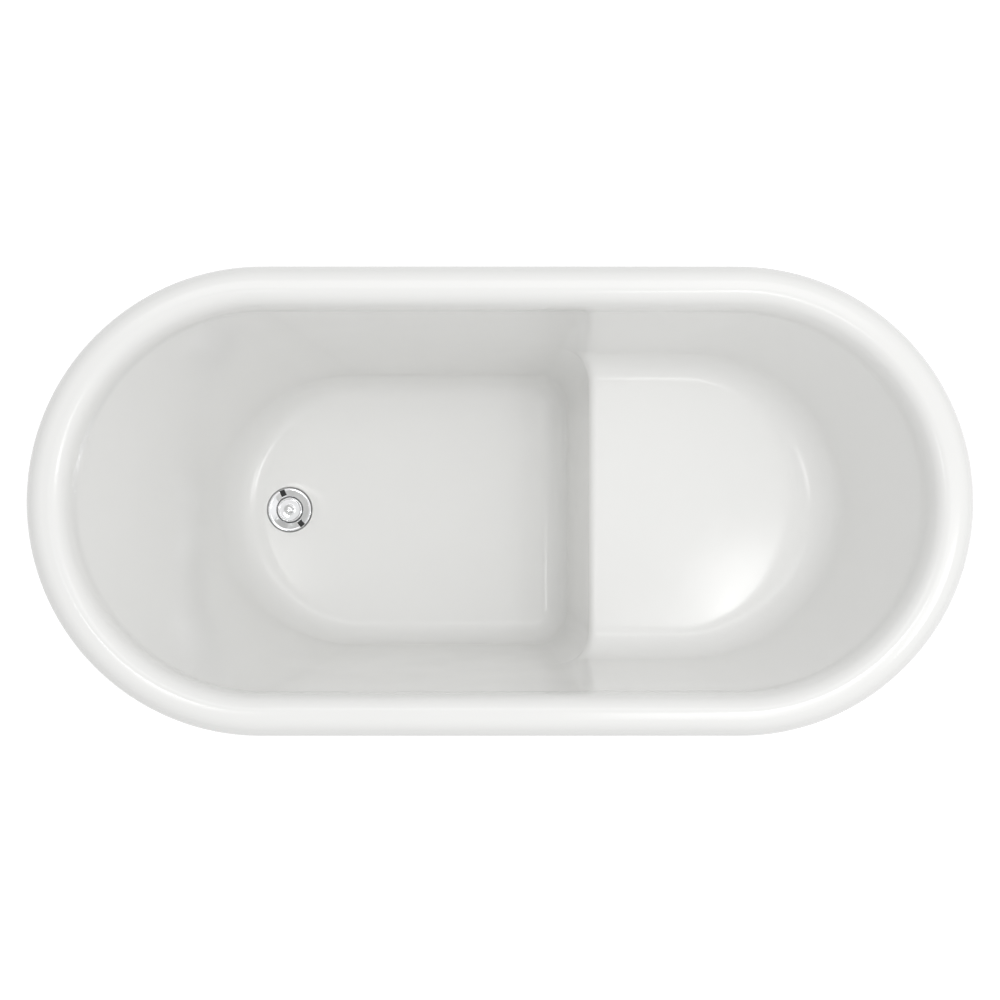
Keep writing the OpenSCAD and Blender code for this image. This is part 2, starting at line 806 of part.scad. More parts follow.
// Square tube across the posts, which carries the seat's board
module seat_bearer(x) {
    color("silver")
        difference() {
            tube_y(x, rail_y + bearer_overhang, bearer_z);
            screw_holes(SEAT_SCREWS, bearer_z, tube_w + cut);
        }
}

// Folded strip that ties the skirt's flange to a crossbar
module skirt_bracket(i) {
    b = BRACKETS[i];
    leg_y = b[1] - bracket_t;
    color("silver")
        translate([b[0], 0, 0])
            mirror([0, b[2] < 0 ? 1 : 0, 0])
                difference() {
                    translate([-bracket_w / 2, 0, 0])
                        rotate([90, 0, 90])
                            linear_extrude(bracket_w)
                                polygon([
                                    [b[1] - bracket_top_l, bar_z - bracket_t], [b[1] - bracket_top_l, bar_z],
                                    [b[1], bar_z], [b[1], flange_top_z + bracket_t],
                                    [leg_y + bracket_foot_l, flange_top_z + bracket_t],
                                    [leg_y + bracket_foot_l, flange_top_z],
                                    [leg_y, flange_top_z], [leg_y, bar_z - bracket_t]
                                ]);
                    translate([0, b[1] - bracket_hole_in, bar_z - bracket_t - cut])
                        cylinder(d = bracket_screw_d, h = bracket_t + 2 * cut);
                    translate([0, b[1] + flange_screw_out, flange_top_z - cut])
                        cylinder(d = bracket_screw_d, h = bracket_t + 2 * cut);
                }
}

// Screws that hold the brackets to the crossbars
module bracket_screws() {
    color("gray")
        for (b = BRACKETS)
            translate([b[0], b[2] * (b[1] - bracket_hole_in), 0])
                screw_up(bracket_screw_d, bracket_screw_l, board_screw_head, bar_z - bracket_t);
}

// Screws that hold the skirt's flange to the brackets
module skirt_screws() {
    color("gray")
        for (b = BRACKETS)
            translate([b[0], b[2] * (b[1] + flange_screw_out), 0])
                screw_up(bracket_screw_d, bracket_screw_l, board_screw_head, skirt_lift);
}

// Bolts through the crossbars into the rails
module rail_bolts() {
    color("gray")
        for (b = BOLTS)
            translate([b[0], b[1], 0])
                screw_up(rail_bolt_d, rail_bolt_l, rail_bolt_head_h, bar_z);
}

// Rivet nuts inside the rails, on the rails' bolts
module rail_nuts() {
    color("silver")
        for (b = BOLTS)
            translate([b[0], b[1], 0])
                ring(rail_nut_d / 2, rail_bolt_d / 2, rail_z + tube_t, rail_nut_h);
}

// Screws through the rails and bearers into the two boards
module board_screws() {
    color("gray") {
        for (p = FLOOR_SCREWS)
            translate([p[0], p[1], 0])
                screw_up(board_screw_d, tube_w + board_screw_bite, board_screw_head, rail_z);
        for (p = SEAT_SCREWS)
            translate([p[0], p[1], 0])
                screw_up(board_screw_d, tube_w + board_screw_bite, board_screw_head, bearer_z);
    }
}

// Plastic pad with a socket for its stud
module levelling_pad(i) {
    color("dimgray")
        translate([FEET[i][0], FEET[i][1], 0])
            difference() {
                union() {
                    cylinder(d = pad_d, h = pad_h / 2);
                    translate([0, 0, pad_h / 2])
                        cylinder(d1 = pad_d, d2 = stud_d * 2, h = pad_h / 2);
                }
                translate([0, 0, stud_bottom_z - stud_play])
                    cylinder(r = stud_hole_r, h = pad_h);
            }
}

// Threaded stud, which turns in its weld nut and rises as it turns
module levelling_stud(i) {
    color("silver")
        translate([FEET[i][0], FEET[i][1], stud_bottom_z]) {
            cylinder(d = stud_d, h = stud_top_z - stud_bottom_z - stud_pitch);
            translate([0, 0, stud_top_z - stud_bottom_z - stud_pitch])
                cylinder(d1 = stud_d, d2 = stud_d - 2 * stud_pitch, h = stud_pitch);
        }
}

// Nuts welded under the crossbars
module weld_nuts() {
    color("silver")
        for (f = FEET)
            translate([f[0], f[1], 0])
                rotate([0, 0, 30])
                    hex_nut(foot_nut_af, stud_hole_r, bar_z - weld_nut_h, weld_nut_h);
}

// Lock nuts on top of the crossbars
module lock_nuts() {
    color("silver")
        for (f = FEET)
            translate([f[0], f[1], 0])
                rotate([0, 0, 30])
                    hex_nut(foot_nut_af, stud_hole_r, bar_z + tube_w, lock_nut_h);
}

// Chrome waste: dished flange, wrench slots, bore with a ledge, cross web and tail
module waste_body() {
    color("lightgray")
        translate([waste_x, 0, 0]) {
            difference() {
                rotate_extrude()
                    polygon([
                        [bore_r, tail_z], [tail_r, tail_z], [tail_r, brim_z], [flange_r, brim_z],
                        [flange_r, waste_edge_z - flange_edge], [flange_r - flange_edge, waste_edge_z],
                        [flange_r - flange_lip, waste_edge_z],
                        [flange_r - flange_lip - dish_in, dish_out_z],
                        [bore_r + bore_edge, dish_in_z], [bore_r, dish_in_z - bore_edge],
                        [bore_r, ledge_top_z],
                        [ledge_r, ledge_top_z], [ledge_r, ledge_top_z - ledge_t],
                        [bore_r, ledge_top_z - ledge_t]
                    ]);
                for (a = wrench_turns)
                    rotate([0, 0, a])
                        translate([wrench_r - wrench_w / 2, -wrench_l / 2, brim_z + wrench_floor])
                            cube([wrench_w, wrench_l, waste_recess]);
            }
            difference() {
                union() {
                    for (a = web_turns)
                        rotate([0, 0, a])
                            translate([0, -web_t / 2, hub_z])
                                cube([bore_r + waste_tail_t / 2, web_t, hub_h]);
                    translate([0, 0, hub_z])
                        cylinder(r = hub_r, h = hub_h);
                }
                translate([0, 0, hub_z - cut])
                    cylinder(d = post_d, h = hub_h + 2 * cut);
            }
        }
}

// Seal between the flange and the floor's recess
module waste_seal() {
    color("dimgray")
        translate([waste_x, 0, 0])
            ring(flange_r - flange_edge, tail_r, recess_z, waste_seal_t);
}

// Rubber gasket under the shell
module waste_gasket() {
    color("dimgray")
        translate([waste_x, 0, 0])
            ring(gasket_r, tail_r, gasket_z, gasket_t);
}

// Nut that clamps the waste to the shell
module waste_backnut() {
    color("goldenrod")
        translate([waste_x, 0, 0])
            hex_nut(backnut_af, tail_r, backnut_z, backnut_h);
}

// Post in the waste's hub that guides the stopper
module stopper_post() {
    color("goldenrod")
        translate([waste_x, 0, hub_z])
            cylinder(d = post_d, h = post_top_z - hub_z);
}

// Sleeve that slides on the post and holds the seal
module stopper_sleeve() {
    color("goldenrod")
        translate([waste_x, 0, 0])
            rotate_extrude()
                polygon([
                    [post_d / 2 + stopper_play, sleeve_z], [sleeve_r - sleeve_step, sleeve_z],
                    [sleeve_r - sleeve_step, seal_z - seal_t], [sleeve_flange_r, seal_z - seal_t],
                    [sleeve_flange_r, seal_z], [sleeve_r, seal_z], [sleeve_r, sleeve_top_z],
                    [0, sleeve_top_z], [0, sleeve_top_z - sleeve_top_t],
                    [post_d / 2 + stopper_play, sleeve_top_z - sleeve_top_t]
                ]);
}

// Rubber seal that closes on the bore's ledge
module stopper_seal() {
    color("black")
        translate([waste_x, 0, 0])
            ring(seal_r, sleeve_r, seal_z, seal_t);
}

// Chrome cap that turns on the sleeve
module stopper_cap() {
    cap_r = stopper_d / 2;
    color("lightgray")
        translate([waste_x, 0, 0])
            rotate_extrude()
                polygon([
                    [sleeve_r + stopper_play, cap_z], [cap_r, cap_z], [cap_r, knob_z - cap_edge],
                    [cap_r - cap_round, knob_z - cap_round], [cap_r - cap_rim, knob_z], [0, knob_z],
                    [0, cap_z + cap_bore_h], [sleeve_r + stopper_play, cap_z + cap_bore_h]
                ]);
}

// Chrome knob on the cap
module stopper_knob() {
    head_z = knob_z + knob_h * knob_neck_share;
    top_z = knob_z + knob_h;
    neck_r = knob_neck_d / 2;
    round_c = [knob_d / 2 - knob_round, top_z - knob_round];
    color("lightgray")
        translate([waste_x, 0, 0])
            rotate_extrude()
                polygon(concat(
                    [
                        [0, knob_z], [neck_r + knob_edge, knob_z], [neck_r, knob_z + knob_edge],
                        [neck_r, head_z - knob_under], [knob_d / 2, head_z]
                    ],
                    arc_points(round_c, knob_round, 0, 90, edge_steps),
                    [[0, top_z]]
                ));
}

// Flat seal between the tail and the trap's collar
module trap_inlet_seal() {
    color("black")
        translate([waste_x, 0, 0])
            ring(tail_r, bore_r, collar_z + collar_t, inlet_seal_t);
}

// Plastic nut that pulls the trap up to the tail
module trap_inlet_nut() {
    color("white")
        translate([waste_x, 0, 0])
            difference() {
                translate([0, 0, inlet_nut_z])
                    cylinder(r = inlet_nut_r, h = inlet_nut_top_z - inlet_nut_z, $fn = 12);
                translate([0, 0, inlet_nut_z + inlet_nut_lip])
                    cylinder(r = tail_r, h = inlet_nut_top_z - inlet_nut_z);
                translate([0, 0, inlet_nut_z - cut])
                    cylinder(r = neck_r, h = inlet_nut_lip + 2 * cut);
            }
}

// Trap: collar, neck and dip tube, domed body and the outlet's socket
module trap_body() {
    color("white")
        translate([waste_x, 0, 0])
            difference() {
                union() {
                    rotate_extrude()
                        polygon([
                            [neck_r - trap_t, trap_dip_z], [neck_r, trap_dip_z],
                            [neck_r, trap_top_z - trap_t], [trap_in_r, trap_top_z - trap_t],
                            [trap_in_r, trap_wall_z], [trap_r, trap_wall_z],
                            [trap_r, trap_top_z - trap_t], [trap_in_r, trap_top_z],
                            [neck_r, trap_top_z], [neck_r, collar_z], [tail_r - collar_gap, collar_z],
                            [tail_r - collar_gap, collar_z + collar_t],
                            [neck_r - trap_t, collar_z + collar_t]
                        ]);
                    difference() {
                        translate([0, 0, outlet_h])
                            rotate([0, 90, 0])
                                cylinder(r = socket_r, h = socket_end_x - waste_x);
                        translate([0, 0, trap_wall_z])
                            cylinder(r = trap_in_r, h = trap_top_z);
                    }
                }
                translate([trap_in_r - socket_mouth, 0, outlet_h])
                    rotate([0, 90, 0])
                        cylinder(r = outlet_d / 2 - outlet_t, h = 2 * trap_r);
                translate([outlet_start_x - waste_x, 0, outlet_h])
                    rotate([0, 90, 0])
                        cylinder(r = outlet_d / 2 + socket_gap, h = 2 * trap_r);
            }
}

// Cup that unscrews from the trap for cleaning
module trap_cup() {
    inner_r = trap_r + thread_gap;
    color("white")
        translate([waste_x, 0, 0])
            rotate_extrude()
                polygon([
                    [0, trap_lift], [cup_r - cup_edge, trap_lift], [cup_r, trap_lift + cup_edge],
                    [cup_r, cup_top_z], [inner_r, cup_top_z],
                    [inner_r, trap_wall_z - cup_seal_t], [trap_in_r - cup_step, trap_wall_z - cup_seal_t],
                    [trap_in_r - cup_step, trap_lift + trap_t], [0, trap_lift + trap_t]
                ]);
}

// Seal between the cup and the trap's wall
module trap_cup_seal() {
    color("black")
        translate([waste_x, 0, 0])
            ring(trap_r, trap_in_r, trap_wall_z - cup_seal_t, cup_seal_t);
}

// Nut on the outlet's socket
module trap_outlet_nut() {
    x = socket_end_x + outlet_seal_l + outlet_nut_lip - outlet_nut_l;
    color("white")
        translate([x, 0, outlet_h])
            rotate([0, 90, 0])
                difference() {
                    cylinder(r = outlet_nut_r, h = outlet_nut_l, $fn = 12);
                    translate([0, 0, -cut])
                        cylinder(r = socket_r, h = outlet_nut_l - outlet_nut_lip + cut);
                    cylinder(r = outlet_d / 2 + socket_gap, h = outlet_nut_l + cut);
                }
}

// Rubber ring that seals the outlet pipe in its socket
module trap_outlet_seal() {
    color("black")
        translate([socket_end_x, 0, outlet_h])
            rotate([0, 90, 0])
                ring(socket_r - outlet_seal_gap, outlet_d / 2, 0, outlet_seal_l);
}

// Rigid pipe that leads from the trap, and turns down to the drain in the floor
module outlet_pipe() {
    r = outlet_d / 2;
    bend_x = outlet_x - outlet_bend_r;
    bend_z = outlet_h - outlet_bend_r;
    color("white") {
        translate([outlet_start_x, 0, outlet_h])
            rotate([0, 90, 0])
                ring(r, r - outlet_t, 0, bend_x - outlet_start_x);
        translate([bend_x, 0, bend_z])
            rotate([90, 0, 0])
                rotate_extrude(angle = 90)
                    translate([outlet_bend_r, 0])
                        difference() {
                            circle(r = r);
                            circle(r = r - outlet_t);
                        }
        translate([outlet_x, 0, 0])
            ring(r, r - outlet_t, outlet_end_h, bend_z - outlet_end_h);
    }
}

basin();
skirt();
rim_bond();
floor_board();
seat_board();
rail(-1);  // front_rail
rail(1);  // back_rail
crossbar(-crossbar_x, outer_bar_half);  // foot_end_crossbar
crossbar(0, middle_bar_half);  // middle_crossbar
crossbar(crossbar_x, outer_bar_half);  // seat_end_crossbar
seat_post(0);  // seat_post_1
seat_post(1);  // seat_post_2
seat_post(2);  // seat_post_3
seat_post(3);  // seat_post_4
seat_bearer(post_front_x);  // seat_bearer_front
seat_bearer(post_back_x);  // seat_bearer_back
skirt_bracket(0);  // skirt_bracket_1
skirt_bracket(1);  // skirt_bracket_2
skirt_bracket(2);  // skirt_bracket_3
skirt_bracket(3);  // skirt_bracket_4
skirt_bracket(4);  // skirt_bracket_5
skirt_bracket(5);  // skirt_bracket_6
bracket_screws();
skirt_screws();
rail_bolts();
rail_nuts();
board_screws();
levelling_pad(0);  // levelling_pad_1
levelling_pad(1);  // levelling_pad_2
levelling_pad(2);  // levelling_pad_3
levelling_pad(3);  // levelling_pad_4
levelling_pad(4);  // levelling_pad_5
levelling_stud(0);  // levelling_stud_1
levelling_stud(1);  // levelling_stud_2
levelling_stud(2);  // levelling_stud_3
levelling_stud(3);  // levelling_stud_4
levelling_stud(4);  // levelling_stud_5
weld_nuts();
lock_nuts();
waste_body();
waste_seal();
waste_gasket();
waste_backnut();
stopper_post();
stopper_sleeve();
stopper_seal();
stopper_cap();
stopper_knob();
trap_inlet_seal();
trap_inlet_nut();
trap_body();
trap_cup();
trap_cup_seal();
trap_outlet_nut();
trap_outlet_seal();
outlet_pipe();
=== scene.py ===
import json
import math

import bpy
import numpy as np
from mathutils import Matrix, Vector


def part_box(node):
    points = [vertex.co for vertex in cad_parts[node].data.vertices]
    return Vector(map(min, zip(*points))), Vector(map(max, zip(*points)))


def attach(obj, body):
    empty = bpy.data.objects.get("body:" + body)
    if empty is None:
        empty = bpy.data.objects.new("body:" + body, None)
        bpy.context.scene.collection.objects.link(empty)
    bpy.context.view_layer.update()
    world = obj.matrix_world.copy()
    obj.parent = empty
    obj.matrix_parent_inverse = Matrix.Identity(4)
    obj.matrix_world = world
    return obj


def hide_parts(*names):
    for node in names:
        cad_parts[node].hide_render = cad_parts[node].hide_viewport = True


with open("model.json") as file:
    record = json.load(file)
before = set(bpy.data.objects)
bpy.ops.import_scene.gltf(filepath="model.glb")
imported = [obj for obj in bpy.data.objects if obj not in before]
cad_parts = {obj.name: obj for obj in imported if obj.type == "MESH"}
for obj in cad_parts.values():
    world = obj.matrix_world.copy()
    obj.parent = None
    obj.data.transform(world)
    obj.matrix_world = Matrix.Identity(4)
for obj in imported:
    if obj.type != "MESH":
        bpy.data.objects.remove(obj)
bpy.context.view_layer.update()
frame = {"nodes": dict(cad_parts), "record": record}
NODES = frame["nodes"]
MM = 0.001

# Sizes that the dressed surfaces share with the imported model, in metres. The outline is a stadium whose ends
# turn about (-END_X, 0) and (END_X, 0), and radii in plan are measured from the line between these points.
BASIN_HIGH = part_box("basin")[1]
WASTE_LOW, WASTE_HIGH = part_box("waste_body")
SKIRT_LOW, SKIRT_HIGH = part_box("skirt")
TUB_L = 2 * BASIN_HIGH.x
TUB_W = 2 * BASIN_HIGH.y
TUB_H = BASIN_HIGH.z
END_R = TUB_W / 2
END_X = (TUB_L - TUB_W) / 2
SHELL_T = 6 * MM
BOND_T = 3 * MM

# Skirt: how much narrower its foot is, how far its side stands out from a straight line, its straight collar
# below the rim's lip, and how far its foot is turned in
SKIRT_T = 5 * MM
SKIRT_LEAN = 76 * MM
SKIRT_BOW = 7 * MM
SKIRT_COLLAR = 12 * MM
SKIRT_FOOT_W = 35 * MM

# Rim: it rolls down outside to its lip at LIP_Z, and inside to the wall, which begins at LEG_Z
RIM_W = 56 * MM
RIM_OUT_R = 24 * MM
RIM_IN_R = 24 * MM
LIP_Z = TUB_H - 42 * MM
LEG_Z = TUB_H - RIM_IN_R - 10 * MM
INNER_R = END_R - RIM_W

# Foot well: its wall leans in to WELL_R. Its fillet is WELL_FILLET, and END_REACH by END_RISE at the end.
# RISER_CORNER rounds the upright corners beside the riser.
FLOOR_Z = 130 * MM
WELL_R = INNER_R - 55 * MM
WELL_END_X = -(END_X + INNER_R - 163 * MM)
WELL_X = WELL_END_X + WELL_R
WELL_FILLET = 40 * MM
END_RISE = 70 * MM
END_REACH = 52 * MM
RISER_CORNER = 54 * MM

# Seat: its wall leans in to SEAT_R. Its fillet is SEAT_FILLET, and BACK_REACH by BACK_RISE at the end, and
# SEAT_EDGE rounds its front. The foot end's row at ABOVE_SEAT_Z goes with the last one of the seat's fillet.
SEAT_Z = 362 * MM
SEAT_R = INNER_R - 45 * MM
SEAT_BACK_X = END_X + INNER_R - 103 * MM
SEAT_X = SEAT_BACK_X - SEAT_R
SEAT_FRONT_X = SEAT_BACK_X - 356 * MM
SEAT_FILLET = 42 * MM
BACK_RISE = 48 * MM
BACK_REACH = 72 * MM
SEAT_EDGE = 12 * MM
ABOVE_SEAT_Z = SEAT_Z + 16 * MM
RISER_FOOT_X = SEAT_FRONT_X - 32 * MM
RISER_Z = SEAT_Z - SEAT_EDGE

# Creases up the side walls, where the seat's wall meets the foot well's. On the back each is a strip of this
# half width and lean. On the inner face it lies CREASE_IN before the seat's front, rounded by CREASE_EDGE.
CREASE_HALF = 6 * MM
CREASE_LEAN = 14 * MM
CREASE_IN = 14 * MM
CREASE_EDGE = 5 * MM

# How full the inner face's fillets are: 2 is a quarter circle or ellipse, and more is fuller
ROLL = 2.4

# Waste: the recess that its flange lies in, the boss below that, and its tail
WASTE_X = (WASTE_LOW.x + WASTE_HIGH.x) / 2
FLANGE_R = (WASTE_HIGH.x - WASTE_LOW.x) / 2
RECESS_Z = FLOOR_Z - 6 * MM
RECESS_R = FLANGE_R + 1.5 * MM
BOSS_Z = RECESS_Z - 8 * MM
BOSS_R = FLANGE_R + 9 * MM
TAIL_R = 24 * MM

# Levelling feet
FEET = range(1, 6)
STUD_PITCH = 1.75 * MM
STUD_HOLE_R = 6.08 * MM
STUD_NUT_W = 19 * MM

# Steps of the meshes: round an end, along its straight leads, across a crease, in a fillet, down a wall and
# across the floor. The inner wall's first WALL_START rows give way to the rim's shoulder.
END_STEPS = 96
LEAD_STEPS = 10
CREASE_STEPS = 24
ARC_STEPS = 14
WALL_STEPS = 16
WALL_START = 2
FLOOR_STEPS = 14

# Least values that something is divided by. A radius below ON_AXIS is 0.
MIN_LENGTH = 1e-5
MIN_SHARE = 1e-6
MIN_AREA = 1e-9
MIN_SLOPE = 0.05
ON_AXIS = 1e-6


def mix(a, b, t):
    return a + (b - a) * t


def smooth(t):
    """0 below 0, 1 above 1, and an even curve between."""
    t = np.clip(t, 0, 1)
    return t * t * (3 - 2 * t)


def bend(a, c, b, t):
    """The point at t on the curve from a to b that leaves a and reaches b in the direction of c."""
    return (1 - t) ** 2 * a + 2 * t * (1 - t) * c + t * t * b


def raised(plan, z):
    """Plan points (n, 2) at the height z, or at one height each, as (n, 3)."""
    return np.column_stack([plan, np.full(len(plan), z)])


def fillet(wall, wall_z, corner, flat, flat_z, t):
    """The row at t of a fillet from the plan wall at wall_z, past corner, to the plan flat at flat_z."""
    return bend(raised(wall, wall_z), raised(corner, flat_z), raised(flat, flat_z), t)


def rounded_end(lead_x, mid_x, r, turn):
    """Plan points of an end rounded about (mid_x, 0), with a straight lead from lead_x at each side.

    r is one radius, or one for each point of the arc.
    """
    angles = turn + np.linspace(-math.pi / 2, math.pi / 2, END_STEPS + 1)
    arc = np.array([mid_x, 0]) + r * np.column_stack([np.cos(angles), np.sin(angles)])
    t = np.linspace(0, 1, LEAD_STEPS + 1)[:-1, None]
    first = mix(np.array([lead_x, arc[0][1]]), arc[0], t)
    last = mix(np.array([lead_x, arc[-1][1]]), arc[-1], t)[::-1]
    return np.vstack([first, arc, last])


# An end's points: from 0 at its sides to 1 at its middle, and from one side (-1) to the other (1). A crease's
# inner points: their share of the way across.
END_POINTS = END_STEPS + 1 + 2 * LEAD_STEPS
ARC_SHARE = np.cos(np.linspace(-math.pi / 2, math.pi / 2, END_STEPS + 1)) ** 2
END_SHARE = np.pad(ARC_SHARE, LEAD_STEPS)
SIDE = np.linspace(-1, 1, END_POINTS)
CREASE_SHARE = np.linspace(0, 1, CREASE_STEPS + 1)[1:-1]


def across(x, y):
    """Plan points on a line across the bath."""
    return np.column_stack([np.full(END_POINTS, x), y])


def wall_t(z):
    """How far down the foot well's wall the height z lies, from 0 at the rim's leg to 1 at the floor."""
    return (LEG_Z - z) / (LEG_Z - FLOOR_Z)


def seat_t(z):
    """The same for the seat's wall, with 1 at the seat."""
    return (LEG_Z - z) / (LEG_Z - SEAT_Z)


def well_side(z):
    return mix(INNER_R, WELL_R, wall_t(z))


def seat_side(z):
    return mix(INNER_R, SEAT_R, seat_t(z))


def riser_x(z):
    return mix(SEAT_FRONT_X, RISER_FOOT_X, (SEAT_Z - z) / (SEAT_Z - FLOOR_Z))


# Where the seat's flat and the straight leads of both ends begin, and the corner of the floor's flat
CREASE_X = SEAT_FRONT_X + SEAT_EDGE
SEAT_FLAT_IN = 2 * MM
LEAD_SEAT_X = SEAT_FRONT_X + CREASE_HALF
LEAD_WELL_X = SEAT_FRONT_X - RISER_CORNER
FLOOR_EDGE_X = RISER_FOOT_X - WELL_FILLET
FLOOR_EDGE_Y = WELL_R - WELL_FILLET
FLOOR_CORNER = RISER_CORNER - WELL_FILLET


def corner_mid(side, z):
    """Centre in plan of the upright corner beside the riser, at +Y (side 1) or -Y (side -1)."""
    return np.array([riser_x(z) - RISER_CORNER, side * (well_side(z) - RISER_CORNER)])


class Wall:
    """The basin's surface from the rim's leg to the flat floor's edge, off behind the inner face.

    Each row holds the seat's end, the crease at +Y, the foot end and the crease at -Y. Going down, the seat's
    end has wall, fillet, seat, front edge, riser and the riser's fillet. The foot end has a wall and fillet.
    """

    def __init__(self, off):
        self.off = off
        self.seat_level, self.floor_level = SEAT_Z - off, FLOOR_Z - off
        self.low_z = FLOOR_Z + WELL_FILLET
        self.set_seat_end()
        self.set_foot_end()
        self.set_riser()

    def set_seat_end(self):
        """Outlines of the seat's end: its wall's top and foot, its flat and its fillet's top."""
        reach = mix(SEAT_FILLET, BACK_REACH, ARC_SHARE[:, None])
        self.seat_top = rounded_end(LEAD_SEAT_X - CREASE_LEAN, END_X, INNER_R + self.off, 0)
        self.seat_foot = rounded_end(LEAD_SEAT_X, SEAT_X, SEAT_R + self.off, 0)
        self.seat_flat = rounded_end(CREASE_X + SEAT_FLAT_IN, SEAT_X, SEAT_R - reach, 0)
        self.back_z = SEAT_Z + mix(SEAT_FILLET, BACK_RISE, END_SHARE)
        self.seat_start = mix(self.seat_top, self.seat_foot, seat_t(self.back_z)[:, None])

    def set_foot_end(self):
        """The same outlines of the foot end."""
        reach = mix(WELL_FILLET, END_REACH, ARC_SHARE[:, None])
        self.well_top = rounded_end(LEAD_WELL_X - CREASE_LEAN, -END_X, INNER_R + self.off, math.pi)
        self.well_foot = rounded_end(RISER_FOOT_X - RISER_CORNER, WELL_X, WELL_R + self.off, math.pi)
        self.well_flat = rounded_end(FLOOR_EDGE_X - FLOOR_CORNER, WELL_X, WELL_R - reach, math.pi)
        self.end_z = FLOOR_Z + mix(WELL_FILLET, END_RISE, END_SHARE)
        self.well_start = mix(self.well_top, self.well_foot, wall_t(self.end_z)[:, None])

    def set_riser(self):
        """Lines across the bath, from the seat's front edge to the floor."""
        line_y = SIDE * (SEAT_R - SEAT_FILLET - SEAT_FLAT_IN)
        top_y = SIDE * (well_side(RISER_Z) - RISER_CORNER)
        low_y = SIDE * (well_side(self.low_z) - RISER_CORNER)
        self.line = across(CREASE_X, line_y)
        self.edge_turn = across(SEAT_FRONT_X + self.off, (line_y + top_y) / 2)
        self.riser_top = across(riser_x(RISER_Z) + self.off, top_y)
        self.riser_low = across(riser_x(self.low_z) + self.off, low_y)
        self.riser_foot = across(RISER_FOOT_X + self.off, SIDE * (WELL_R - RISER_CORNER))
        self.floor_edge = across(FLOOR_EDGE_X, SIDE * (FLOOR_EDGE_Y - FLOOR_CORNER))

    def seat_row(self, stage, t):
        if stage == "wall":
            return raised(mix(self.seat_top, self.seat_start, t), mix(LEG_Z, self.back_z, t))
        if stage == "seat_fillet":
            return fillet(self.seat_start, self.back_z, self.seat_foot, self.seat_flat, self.seat_level, t)
        if stage == "seat":
            return raised(mix(self.seat_flat, self.line, t), self.seat_level)
        if stage == "edge":
            return bend(raised(self.line, self.seat_level), raised(self.edge_turn, self.seat_level),
                        raised(self.riser_top, RISER_Z), t)
        if stage == "riser":
            return raised(mix(self.riser_top, self.riser_low, t), mix(RISER_Z, self.low_z, t))
        return fillet(self.riser_low, self.low_z, self.riser_foot, self.floor_edge, self.floor_level, t)

    def well_row(self, stage, t, z):
        if stage == "well_fillet":
            return fillet(self.well_start, self.end_z, self.well_foot, self.well_flat, self.floor_level, t)
        z = mix(RISER_Z, self.end_z, t) if stage == "riser" else np.full(END_POINTS, z)
        return raised(mix(self.well_top, self.well_foot, wall_t(z)[:, None]), z)

    def crease_row(self, side, stage, t, z, seat_end, well_end):
        """From the seat's last point to the foot end's first one, at +Y (side 1) or -Y (side -1).

        Above the seat it steps across the crease, and below it goes round the upright corner.
        """
        x = mix(seat_end[0], well_end[0], CREASE_SHARE)
        step = smooth((seat_end[0] - x) / (2 * CREASE_HALF))
        strip = np.column_stack([x, mix(seat_end[1], well_end[1], step), mix(seat_end[2], well_end[2], step)])
        if stage in ("wall", "seat_fillet"):
            return strip
        angles = CREASE_SHARE * math.pi / 2
        arc = np.column_stack([np.cos(angles), side * np.sin(angles)])
        r = RISER_CORNER + self.off
        if stage == "well_fillet":
            flat_mid = np.array([FLOOR_EDGE_X - FLOOR_CORNER, side * (FLOOR_EDGE_Y - FLOOR_CORNER)])
            low, foot = corner_mid(side, self.low_z) + r * arc, corner_mid(side, FLOOR_Z) + r * arc
            return fillet(low, self.low_z, foot, flat_mid + FLOOR_CORNER * arc, self.floor_level, t)
        corner = raised(corner_mid(side, z) + r * arc, z)
        if stage == "riser":
            return corner
        return mix(strip, corner, smooth((t + (stage == "edge")) / 2))

    def whole_row(self, stage, t, z):
        seat = self.seat_row(stage, t)
        well = self.well_row(stage, t, z)
        up = self.crease_row(1, stage, t, z, seat[-1], well[0])
        down = self.crease_row(-1, stage, t, z, seat[0], well[-1])[::-1]
        return np.vstack([seat, up, well, down])

    def rows(self):
        stages = [("wall", WALL_STEPS, LEG_Z, SEAT_Z + SEAT_FILLET),
                  ("seat_fillet", ARC_STEPS, SEAT_Z + SEAT_FILLET, ABOVE_SEAT_Z),
                  ("seat", WALL_STEPS, ABOVE_SEAT_Z, SEAT_Z),
                  ("edge", ARC_STEPS, SEAT_Z, RISER_Z),
                  ("riser", WALL_STEPS, RISER_Z, self.low_z),
                  ("well_fillet", ARC_STEPS, self.low_z, self.low_z)]
        rows = [self.whole_row(stage, i / steps, mix(z_from, z_to, i / steps))
                for stage, steps, z_from, z_to in stages for i in range(steps)]
        return rows + [self.whole_row("well_fillet", 1, self.low_z)]


def rim_rows(path):
    """Rows round the rim, for a path of (radius in plan, height)."""
    rows = []
    for r, z in path:
        seat = rounded_end(LEAD_SEAT_X - CREASE_LEAN, END_X, r, 0)
        well = rounded_end(LEAD_WELL_X - CREASE_LEAN, -END_X, r, math.pi)
        x = mix(seat[-1][0], well[0][0], CREASE_SHARE)
        up = np.column_stack([x, np.full(len(x), r)])
        down = up[::-1] * np.array([1, -1])
        rows.append(raised(np.vstack([seat, up, well, down]), z))
    return rows


def arc_path(cx, cz, r, start, end):
    """(Radius, height) points on an arc about (cx, cz), from start to end degrees."""
    angles = np.radians(np.linspace(start, end, ARC_STEPS + 1))
    return [(cx + r * math.cos(a), cz + r * math.sin(a)) for a in angles]


def waste_rows(edge_row, circles):
    """Rows on circles (radius, height) round the waste, each point in line with one of edge_row's."""
    centre = np.array([WASTE_X, 0])
    away = edge_row[:, :2] - centre
    away /= np.linalg.norm(away, axis=1)[:, None]
    return [raised(centre + r * away, z) for r, z in circles]


